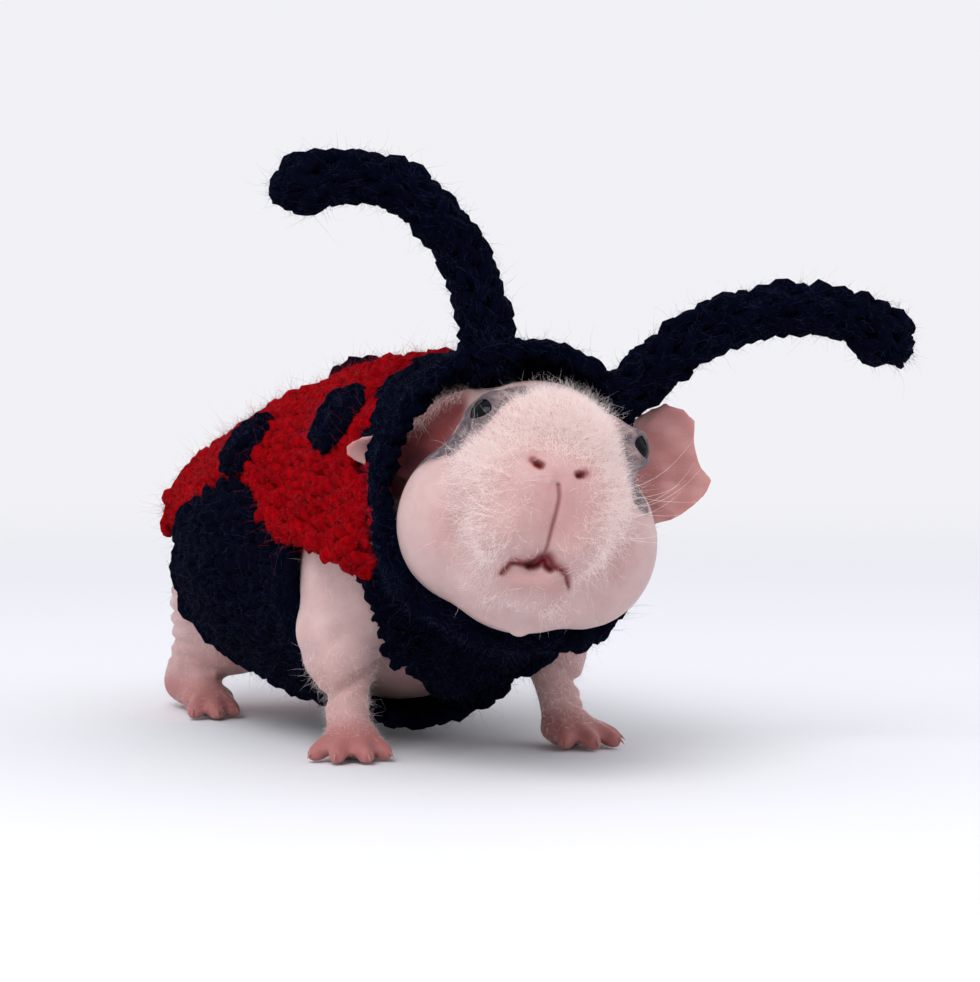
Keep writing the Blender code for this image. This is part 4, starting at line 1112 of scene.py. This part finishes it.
rays = [
    hood_ray(2 * math.pi * j / HOOD_COUNT, 0.07 + 0.87 * i / (HOOD_ROUNDS - 1))
    for i, j in staggered(HOOD_ROUNDS, HOOD_COUNT)
]
found = hits("hood", rays, 1.5, (6.2, 5.8, 5.0))
found = [spot for spot in found if min((spot[0] - other[0]).length for other in lapped) > 3.4 * MM]
hood_stitches = crocheted("hood_stitches", clear_of_ear(found, 5.5), black_yarn, 13)
tree = tree_of(merged_copy("hood"))
middles = []
for j in range(ROLL_COUNT):
    start, way, back = hood_ray(2 * math.pi * j / ROLL_COUNT, 0.012)
    way = way.normalized()
    outer = tree.ray_cast(start + way * 0.12, -way, 0.12)[0]
    inner = tree.ray_cast(start, way, 0.12)[0]
    if outer and inner:
        middles.append(((outer + inner) / 2, way, back))
roll = []
for k, (spot, way, back) in enumerate(middles):
    along = (middles[(k + 1) % len(middles)][0] - middles[k - 1][0]).normalized()
    give = float(round_ear([spot])[0])
    size = Vector((4.3, 5.2, 4.0)) * (1 - ROLL_GIVES * give)
    for lean in ROLL_LEANS:
        out = (way * math.cos(lean) - back * math.sin(lean)).normalized()
        roll.append((spot + out * 0.7 * MM + back * 0.8 * MM + way * 1.9 * give * MM, out, along, size))
hood_roll = crocheted("hood_roll", roll, black_yarn, 14, 0.2, 0.1)
places_out = places(merged_copy("hood", -1.0), "normal")
lining("hood", shaded_black_cloth, opened)

# The belly wrap is worked round the body, puffs out on the flanks and joins the wings' lower edges
WRAP_SHARES = (0, 0.35, 0.55, 0.75, 1)
WRAP_FRONT = (-30, -32, -34, -36, -37)
WRAP_BACK = (26, 25, 32, 40, 38)
WRAP_ROUNDS = 15
WRAP_COUNT = 36


def wrap_turn(station, turn):
    """The angle from the ridge of the back at a share of the way from the belly up to a wing's edge."""
    return math.copysign(math.radians(180 - (178 - wing_edge(station)) * abs(turn)), turn)


rays = []
for i, j in staggered(WRAP_ROUNDS, WRAP_COUNT):
    turn = 0.97 * (2 * j / (WRAP_COUNT - 0.5) - 1)
    front = float(np.interp(abs(turn), WRAP_SHARES, WRAP_FRONT))
    back = float(np.interp(abs(turn), WRAP_SHARES, WRAP_BACK))
    station = front + 0.2 + (back - front - 1.8) * i / (WRAP_ROUNDS - 1)
    way, lie = round_trunk(wrap_turn(station, turn))
    rays.append((BODY @ body_axis(station), way, Vector((0, 1, 0)) if 0 < i < WRAP_ROUNDS - 1 else lie))
found = hits("belly_wrap", rays, 1.6, (6.5, 6.0, 5.2))
rays = []
for side in SIDES.values():
    for j in range(11):
        turn = 0.42 + 0.053 * j
        front = float(np.interp(turn, WRAP_SHARES, WRAP_FRONT))
        rays.append((BODY @ body_axis(front + 1), *round_trunk(wrap_turn(front, side * turn))))
for spot, out, up, size in hits("belly_wrap", rays, 2.2, (5.6, 6.0, 5.2)):
    found.append((spot - Vector((0, 3.4, 0)) * MM, (out - Vector((0, 0.5, 0))).normalized(), up, size))
wrap_stitches = crocheted("wrap_stitches", found, black_yarn, 15)
lining("belly_wrap", shaded_black_cloth)

# The bib hangs from the hood over the throat and chest, and frays at its lower edge
BIB_AXIS = (-55.0, 50.0)
BIB_TOP = (-31.5, 35.0)
BIB_HEM = (-20.5, 18.0)
BIB_SHARES = (-1, -0.5, 0, 0.4, 0.75, 1)
BIB_FOOT = (64, 84, 104, 114, 108, 92)
BIB_ROWS = 11
BIB_COUNT = 13
FRAY_COUNT = 17
KNOT_COUNT = 12


def bib_ray(across, share):
    """A ray out of the chest: across runs from its right edge to its left, and share from top to foot."""
    x_top, x_hem = (float(np.interp(across, (-1, 1), ends)) for ends in (BIB_TOP, BIB_HEM))
    x = x_top * (1 - share) + x_hem * share
    top = 4 + 20 * (1 - across * across)
    down = math.radians(top + (float(np.interp(across, BIB_SHARES, BIB_FOOT)) - top) * share)
    way = Vector((0, -math.cos(down), -math.sin(down)))
    return BODY @ Vector((x, *BIB_AXIS)), way, Vector((0, math.sin(down), -math.cos(down)))


rays = [
    bib_ray(0.94 * (2 * j / (BIB_COUNT - 0.5) - 1), 0.03 + 0.93 * i / (BIB_ROWS - 1))
    for i, j in staggered(BIB_ROWS, BIB_COUNT)
]
for across in side_to_side(FRAY_COUNT):
    start, way, up = bib_ray(0.95 * across, 0.97)
    rays.append((start, way, way.cross(up)))
for side in SIDES.values():
    rays += [bib_ray(0.96 * side, 0.05 + 0.09 * i) for i in range(BIB_ROWS)]
found = hits("bib", rays, 1.6, (6.2, 5.8, 5.0))
knot = hits("bib", [bib_ray(-0.93, 0.93)], 0, (1, 1, 1))[0]
rng = np.random.default_rng(9)
for _ in range(KNOT_COUNT):
    out = Vector(rng.normal(0, 1, 3)).normalized()
    spot = knot[0] + knot[1] * 1.5 * MM - Vector((0, 0, 1.0)) * MM + out * 2.6 * MM
    found.append((spot, out, out.orthogonal(), (5.0, 5.0, 4.6)))
bib_stitches = crocheted("bib_stitches", found, black_yarn, 16)
bib_cloth = lining("bib", shaded_black_cloth)
cut = {"plane_co": BODY @ Vector((-23.5, 0, 30)), "plane_no": (-1, 0, -0.32), "clear_outer": True}
with reworked(bib_cloth.data) as bm:
    bmesh.ops.bisect_plane(bm, geom=bm.verts[:] + bm.edges[:] + bm.faces[:], **cut)
    bmesh.ops.holes_fill(bm, edges=[e for e in bm.edges if e.is_boundary])
    bmesh.ops.triangulate(bm, faces=bm.faces[:])
    bmesh.ops.recalc_face_normals(bm, faces=bm.faces[:])

# The antennae are crocheted tubes stuffed with wool: rounds of six stitches, each round narrowing in
# and swelling out again, and closed by a ball at the end
ANTENNA_PATHS = {
    "right": (
        (-15, 24),
        (-17, 33),
        (-21, 44),
        (-28.5, 55),
        (-39.5, 63.5),
        (-51, 66),
        (-62.5, 62.5),
        (-72, 57),
    ),
    "left": ((12, 25), (18, 33), (31, 49), (44, 57), (57, 60), (68, 59), (77, 53.5)),
}
ANTENNA_STARTS = {"right": 5, "left": 1}
ANTENNA_RADIUS = 5.6
BALL_RADIUS = 6.6
ROUND_STEP = 4.3
for name, route in ANTENNA_PATHS.items():
    lean = 12 / (len(route) - 1)
    path = smooth_path([HEAD @ Vector((x, 8 - lean * i, z)) for i, (x, z) in enumerate(route)], 12)
    run = np.concatenate(([0], np.cumsum([(b - a).length for a, b in zip(path, path[1:])]))) / MM
    found = []
    rounds = int((run[-1] - ANTENNA_STARTS[name]) / ROUND_STEP)
    for i in range(rounds + 1):
        at = run[-1] - 1.0 - i * ROUND_STEP
        here, ahead, behind = (
            Vector([float(np.interp(spot, run, [p[axis] for p in path])) for axis in range(3)])
            for spot in (at, at + 0.8, at - 0.8)
        )
        along = (ahead - behind).normalized()
        across = along.cross(Vector((0, 1, 0.2))).normalized()
        other = along.cross(across)
        from_ball = run[-1] - BALL_RADIUS - at
        ball = math.sqrt(max(0, BALL_RADIUS**2 - min(abs(from_ball), BALL_RADIUS) ** 2))
        radius = max(ball, ANTENNA_RADIUS - 0.7 * at / run[-1]) if from_ball > 0 else max(ball, 2.0)
        count = 6 if radius > 3 else 4
        for j in range(count):
            angle = 2 * math.pi * (j + 0.5 * (i % 2)) / count
            out = across * math.cos(angle) + other * math.sin(angle)
            slope = along * (0.9 if from_ball < 0 else 0)
            size = 5.8 * radius / ANTENNA_RADIUS
            spot = here + out * (radius - 1.5) * MM
            found.append((spot, (out + slope).normalized(), along, (size, 5.0, 5.2)))
    tip = path[-1] - (path[-1] - path[-2]).normalized() * 2 * MM
    found.append((tip, (path[-1] - path[-2]).normalized(), across, (6, 5, 5)))
    node = "antenna_" + name
    crocheted(node + "_stitches", found, black_yarn, 20 + len(route), 0.25)
    core = piece_of(node + "_cloth", merged_copy(node, -1.2), shaded_black_cloth, "black_wool", node)
bpy.data.objects.remove(stitch)

# Fine fibres: loose wool that stands off the yarn as a halo, the white fuzz and whiskers of the face,
# and a thin down on the legs. Each is a closed tapered thread with three sides
THREAD_SIDES = 3
inputs = {"Width": "Float", "Curl": "Float", "Waves": "Float", "Joints": "Int", "Fibre": "Material"}
threads, given, carried = group_of("Threads", inputs.items(), ("root", "aim", "lie", "cell"))
group = threads
dots = add(group, "GeometryNodeMeshToPoints", {"Mesh": given["Geometry"]})
line = add(group, "GeometryNodeCurvePrimitiveLine", {"Start": (0, 0, 0), "End": (0, 0, 1)})
jointed = add(group, "GeometryNodeResampleCurve", {"Curve": line, "Count": given["Joints"]})
sown = add(group, "GeometryNodeInstanceOnPoints", {"Points": dots, "Instance": jointed})
real = add(group, "GeometryNodeRealizeInstances", {"Geometry": sown})
along = add(group, "GeometryNodeSplineParameter").outputs["Factor"]
squared = add(group, "ShaderNodeMath", {0: along, 1: along}, operation="MULTIPLY")
straight = add(group, "ShaderNodeVectorMath", {0: carried["aim"], "Scale": along}, operation="SCALE")
bent = add(group, "ShaderNodeVectorMath", {0: carried["lie"], "Scale": squared}, operation="SCALE")
seeded = add(group, "ShaderNodeVectorMath", {0: carried["root"], "Scale": 9000.0}, operation="SCALE")
phase = add(group, "ShaderNodeMath", {0: along, 1: given["Waves"]}, operation="MULTIPLY")
where = add(group, "ShaderNodeVectorMath", {0: seeded, 1: add(group, "ShaderNodeCombineXYZ", {"Z": phase})})
noise = add(group, "ShaderNodeTexNoise", {"Vector": where, "Scale": 1.0, "Detail": 1.0}).outputs["Color"]
centred = add(group, "ShaderNodeVectorMath", {0: noise, 1: (0.5, 0.5, 0.5)}, operation="SUBTRACT")
amount = add(group, "ShaderNodeMath", {0: along, 1: given["Curl"]}, operation="MULTIPLY")
curled = add(group, "ShaderNodeVectorMath", {0: centred, "Scale": amount}, operation="SCALE")
total = carried["root"]
for part in (straight, bent, curled):
    total = add(group, "ShaderNodeVectorMath", {0: total, 1: part})
drawn = add(group, "GeometryNodeSetPosition", {"Geometry": real, "Position": total})
mark = {"Geometry": drawn, "Name": "along", "Value": along}
marked = add(group, "GeometryNodeStoreNamedAttribute", mark, data_type="FLOAT", domain="POINT")
taper = add(group, "ShaderNodeMapRange", {"Value": along, 3: 1.0, 4: 0.12})
circle = {"Resolution": THREAD_SIDES, "Radius": given["Width"]}
profile = add(group, "GeometryNodeCurvePrimitiveCircle", circle)
swept = {"Curve": marked, "Profile Curve": profile, "Scale": taper, "Fill Caps": True}
solid = add(group, "GeometryNodeCurveToMesh", swept)
strip = add(group, "GeometryNodeInputNamedAttribute", {"Name": "along"}, data_type="FLOAT")
index = add(group, "GeometryNodeInputIndex")
turned_by = add(group, "ShaderNodeMath", {0: index, 1: float(THREAD_SIDES)}, operation="MODULO")
u = add(group, "ShaderNodeMath", {0: turned_by, 1: 0.0015}, operation="MULTIPLY")
v = add(group, "ShaderNodeMath", {0: strip, 1: 0.003}, operation="MULTIPLY")
patch = add(group, "ShaderNodeCombineXYZ", {"X": u, "Y": v})
baked_at(group, solid, carried["cell"], patch, given["Fibre"])


def fibre_of(name, colour, tip, roughness, sheen, through=0.0):
    """A thread of hair or wool, paler towards its tip as a painted highlight; some of the light passes
    through white hair, which also glows faintly as painted light.
    """
    made, tree = material_of(name)[:2]
    share = add(tree, "ShaderNodeAttribute", attribute_name="along").outputs["Fac"]
    mixed = add(tree, "ShaderNodeMix", {"Factor": share, 6: linear(colour), 7: linear(tip)}, data_type="RGBA")
    look = {"Base Color": mixed, "Roughness": roughness, "Sheen Weight": sheen, "Specular IOR Level": 0.2}
    # White hair gets a faint glow, which is painted light
    if through:
        look |= {"Emission Color": mixed, "Emission Strength": 0.2}
    surface = add(tree, "ShaderNodeBsdfPrincipled", look)
    if through:
        glow = add(tree, "ShaderNodeBsdfTranslucent", {"Color": mixed})
        surface = add(tree, "ShaderNodeMixShader", {0: through, 1: surface, 2: glow})
    add(tree, "ShaderNodeOutputMaterial", {"Surface": surface})
    return made


def grown(name, roots, aims, lies, cells, fibre, slot, width, curl, waves, joints=4):
    """Grows a thread from each root, sizes in millimetres, and keeps its tip above the floor."""
    roots, aims, lies = (np.array([tuple(v) for v in row], dtype=float) for row in (roots, aims, lies))
    tips = roots[:, 2] + aims[:, 2] + lies[:, 2]
    aims[:, 2] += np.maximum(0, (0.7 + 0.3 * curl) * MM - tips)
    mesh = roots_of(name, roots, root=roots, aim=aims, lie=lies, cell=cells)
    values = {"Width": width * MM, "Curl": curl * MM, "Waves": waves, "Joints": joints, "Fibre": fibre}
    return finished(made_by(name, mesh, threads, values), slot)


def matted(name, pieces, count, fibre, seed, long, stand, width=0.032, joints=3, curl=2.4):
    """Loose fibres on the strands of some pieces: long is their length, and stand how far they rise."""
    rng = np.random.default_rng(seed)
    spots = [s for piece in pieces for s in stitch_spots[piece]]
    place, out, up, size = (np.array([tuple(s[k]) for s in spots], dtype=float) for k in range(4))
    across = np.cross(out, up)
    across /= np.linalg.norm(across, axis=1)[:, None]
    up = np.cross(across, out)
    chosen = rng.integers(0, len(spots), count)
    place, out, up, across = place[chosen], out[chosen], up[chosen], across[chosen]
    size = size[chosen] * MM
    leg = np.array(STITCH_LEG)
    share = rng.uniform(0, len(leg) - 1.001, count)
    low = share.astype(int)
    at_leg = leg[low] + (leg[low + 1] - leg[low]) * (share - low)[:, None]
    run = leg[low + 1] - leg[low]
    side = rng.choice((-1.0, 1.0), count)
    angle = rng.uniform(-1.4, 1.4, count)
    normal = out * np.cos(angle)[:, None] + across * np.sin(angle)[:, None]
    roots = place + across * (side * at_leg[:, 0] * size[:, 0])[:, None]
    roots += up * (at_leg[:, 1] * size[:, 1])[:, None]
    roots += out * (at_leg[:, 2] * size[:, 2])[:, None] + normal * (at_leg[:, 3] * size[:, 0] * 0.8)[:, None]
    lengthwise = across * (side * run[:, 0])[:, None] + up * run[:, 1][:, None]
    lengthwise /= np.linalg.norm(lengthwise, axis=1)[:, None]
    reach = rng.uniform(*long, count)[:, None] * MM
    aims = lengthwise * rng.choice((-0.7, 0.7), count)[:, None]
    aims += normal * (stand * rng.uniform(0.3, 1.4, count))[:, None]
    aims = (aims + rng.normal(0, 0.35, (count, 3))) * reach
    lies = rng.normal(0, 0.4, (count, 3)) * reach
    cells = np.column_stack(((chosen % 61) / 61, (chosen // 61 % 61) / 61, np.zeros(count)))
    grown(name, roots, aims, lies, cells, fibre, wool_slot(fibre), width, curl, 2.5, joints)


# The paler tips of the loose wool are painted highlights
black_fibre = fibre_of("Black loose wool", "#030716", "#293a66", 0.8, 0.02)
red_fibre = fibre_of("Red loose wool", "#78020b", "#c4262c", 0.8, 0.05)
WING = ["wing_stitches", "wing_border"]
HOOD = ["hood_stitches", "hood_roll"]
FEELERS = ["antenna_right_stitches", "antenna_left_stitches"]
DISCS = [f"spot_{k + 1}_stitches" for k in range(6)]
WRAP = ["wrap_stitches"]
BIB = ["bib_stitches"]
HALO = (0.7, 0.024, 5, 5.0)
for name, pieces, count, seed, long, manner in (
    ("wing_nap_1", WING, 8000, 41, (1.4, 3.2), (0.35,)),
    ("wing_nap_2", WING, 8000, 42, (1.4, 3.2), (0.35,)),
    ("wing_halo", WING, 4000, 43, (2.5, 5.5), (0.7, 0.026, 5, 5.0)),
    ("hood_nap", HOOD, 8000, 44, (1.4, 3.0), (0.35,)),
    ("hood_halo", HOOD, 2500, 45, (2.2, 5.0), HALO),
    ("wrap_nap", WRAP, 8000, 46, (1.4, 3.2), (0.35,)),
    ("bib_nap", BIB, 4000, 47, (1.4, 3.0), (0.35,)),
    ("wrap_halo", WRAP + BIB, 3000, 48, (2.2, 5.0), HALO),
    ("feeler_nap", FEELERS, 7000, 49, (1.2, 2.8), (0.4,)),
    ("feeler_halo", FEELERS, 2200, 50, (1.8, 4.2), (0.7, 0.024, 5, 4.0)),
    ("spot_nap", DISCS, 4000, 51, (1.2, 2.4), (0.35,)),
    ("spot_halo", DISCS, 1000, 52, (1.8, 4.0), HALO),
):
    matted(name, pieces, count, red_fibre if pieces is WING else black_fibre, seed, long, *manner)

# The face's short white fuzz is dense on the nose and brow and on both sides of the muzzle
skin.data.calc_loop_triangles()
corners = np.empty(len(skin.data.loop_triangles) * 3, dtype=np.int32)
skin.data.loop_triangles.foreach_get("vertices", corners)
corners = corners.reshape(-1, 3)
co = places(skin.data)
normals = places(skin.data, "normal")
triangles = co[corners]
sides = np.cross(triangles[:, 1] - triangles[:, 0], triangles[:, 2] - triangles[:, 0])
areas = np.linalg.norm(sides, axis=1) / 2
middles = triangles.mean(axis=1)
outs = normals[corners].mean(axis=1)
outs /= np.linalg.norm(outs, axis=1)[:, None]
at = local(HEAD, middles)
eyes_clear = np.minimum(*(np.linalg.norm(at - np.array(EYE_AT[side]), axis=1) for side in SIDES.values()))


def blob(x, y, z, half):
    """1 at a place in the head's frame, falling to 0 over about twice its half widths."""
    away = ((at[:, 0] - x) / half[0]) ** 2 + ((at[:, 1] - y) / half[1]) ** 2 + ((at[:, 2] - z) / half[2]) ** 2
    return np.exp(-away)


def sown_on_skin(weight, count, seed):
    """Random places on the skin, dense where the weight is high: (rng, places, ways out, head places)."""
    rng = np.random.default_rng(seed)
    share = weight * areas
    chosen = rng.choice(len(areas), size=count, p=share / share.sum())
    a, b = rng.random((2, count))
    flip = a + b > 1
    a[flip], b[flip] = 1 - a[flip], 1 - b[flip]
    three = triangles[chosen]
    found = three[:, 0] + a[:, None] * (three[:, 1] - three[:, 0]) + b[:, None] * (three[:, 2] - three[:, 0])
    return rng, found, outs[chosen], local(HEAD, found)


def unwrapped(head_places):
    """Where places of the head lie on its skin, unrolled round the head and from crown to chin."""
    reach = np.linalg.norm(head_places, axis=1)
    u = np.arctan2(head_places[:, 0], -head_places[:, 1]) / (2 * math.pi) + 0.5
    v = np.arccos(np.clip(head_places[:, 2] / reach, -1, 1)) / math.pi
    return np.column_stack((u * 0.99, v * 0.99, np.zeros(len(u))))


# White hair: its paler tips are a painted highlight, and it glows faintly as painted light
white_hair = fibre_of("White hair", "#f8e6e3", "#fffcfb", 0.5, 0.1, 0.45)
curly = (
    1.9 * blob(1, -33, 13, (12, 10, 7))
    + 0.75 * blob(-13, -27, 3, (6, 8, 6))
    + 0.25 * blob(-10, -29, -10, (6, 8, 10))
    + 0.25 * blob(13, -30, -6, (6, 9, 10))
    + 0.4 * blob(16, -22, 8, (5, 9, 6))
    + 0.12 * blob(2, -20, -25, (12, 9, 5))
)
tufted = (
    0.45 * blob(0, -18, 20.5, (12, 9, 3.5))
    + 0.3 * blob(-10, -29, -9, (7, 8, 12))
    + 0.27 * blob(13, -30, -5, (7, 9, 11))
    + 0.5 * blob(-15, -24, 4, (5, 8, 5))
    + 0.3 * blob(15, -24, 8, (5, 9, 6))
    + 0.3 * blob(1, -33, 12, (10, 9, 5))
)
on_rim = near_path(middles, ear_rim, 3.4) * (np.abs(at[:, 0] + 27) < 6.5) * (outs @ np.array(face_in) < -0.2)
bald = spread(8.5, 12.5, eyes_clear) * (at[:, 1] < 4) * (at[:, 2] > -27.5)
for nostril in NOSTRILS:
    bald *= 1 - near_line(middles, nostril, 4.5)
bald *= 1 - near_line(middles, MOUTH, 4.0)
bald *= 1 - 0.9 * near_line(middles, LOWER_LIP, 4.0)
bald *= 1 - near_line(middles, PHILTRUM, 7.5)
for name, weight, count, seed, long, curl, joints in (
    ("face_fuzz_short", curly * bald + 0.5 * on_rim, 13000, 61, (1.0, 2.3), 3.6, 3),
    ("face_fuzz_long", tufted * bald + 0.35 * on_rim, 5200, 62, (1.8, 3.8), 8.0, 6),
):
    rng, found, out, in_head = sown_on_skin(weight, count, seed)
    away = in_head - np.array([1.0, -38.0, -1.0])
    away = away @ head_turn.T
    away -= out * (away * out).sum(1)[:, None]
    away /= np.linalg.norm(away, axis=1)[:, None] + 1e-6
    reach = rng.uniform(*long, count) * MM
    crown = spread(13, 20, in_head[:, 2])
    reach *= 1 - 0.35 * crown
    stand = 0.45 + 0.25 * crown
    aims = (out * stand[:, None] + away * 0.3 + rng.normal(0, 0.5, (count, 3))) * reach[:, None]
    lies = (away * 0.1 + rng.normal(0, 0.55, (count, 3))) * reach[:, None]
    grown(name, found, aims, lies, unwrapped(in_head), white_hair, "skin", 0.032, curl, 5.0, joints)

# A thin pale down on the forearms and feet, and hardly any on the rest of the legs
DOWN_COUNT = 4200
on_legs = np.zeros(len(middles))
for side in SIDES.values():
    for x, y, half in (
        (BODY_AT[0] + side * 28, -26, (10, 13)),
        (BODY_AT[0] + side * 30, 70, (12, 24)),
    ):
        from_leg = ((middles[:, 0] / MM - x) / half[0]) ** 2 + ((middles[:, 1] / MM - y) / half[1]) ** 2
        on_legs = np.maximum(on_legs, (from_leg < 1.2) * (1.0 if y < 0 else 0.25))
down = on_legs * (spread(0.03, 0.012, middles[:, 2]) + 0.02) * (middles[:, 2] > 0.0012)
rng, found, out = sown_on_skin(down, DOWN_COUNT, 53)[:3]
above_toes = (found[:, 2] > 0.008) * (found[:, 1] < 0)
reach = (rng.uniform(0.8, 1.7, DOWN_COUNT) + rng.uniform(0, 1.6, DOWN_COUNT) * above_toes) * MM
aims = (out * 0.4 + np.array([0, -0.1, -0.4]) + rng.normal(0, 0.35, (DOWN_COUNT, 3))) * reach[:, None]
lies = rng.normal(0, 0.5, (DOWN_COUNT, 3)) * reach[:, None]
bearing = np.arctan2(found[:, 0] + 0.016, found[:, 1]) / (2 * math.pi) + 0.5
unrolled = np.column_stack((bearing * 0.99, np.clip(found[:, 2] / 0.1, 0, 0.99), 0 * reach))
grown("leg_down", found, aims, lies, unrolled, white_hair, "skin", 0.022, 2.6, 4.0, 4)

# White whiskers leave both sides of the muzzle sideways and curve up and back along the cheeks
rng = np.random.default_rng(71)
roots, aims, lies, cells = [], [], [], []
skin_tree = tree_of(skin.data)
for side, count, long in ((1, 9, (17, 30)), (-1, 7, (9, 17))):
    for i in range(count):
        x = side * rng.uniform(10, 14) + 1.5
        z = rng.uniform(-12, 2)
        hit = skin_tree.ray_cast(HEAD @ Vector((x, -80, z)), face_in)
        reach = rng.uniform(*long) * MM
        roots.append(hit[0] - hit[1] * 0.2 * MM)
        aims.append(HEAD_TURN @ Vector((side, -0.12, rng.uniform(-0.15, 0.2))) * reach)
        bend = Vector((-side * 0.25, rng.uniform(0.25, 0.5), rng.uniform(0.1, 0.75)))
        lies.append(HEAD_TURN @ bend * reach)
        cells.append((0.5 + side * 0.1 + 0.02 * (i % 5), 0.5 + 0.02 * (i // 5), 0))
grown("whiskers", roots, aims, lies, cells, white_hair, "skin", 0.05, 3.0, 1.2, 9)
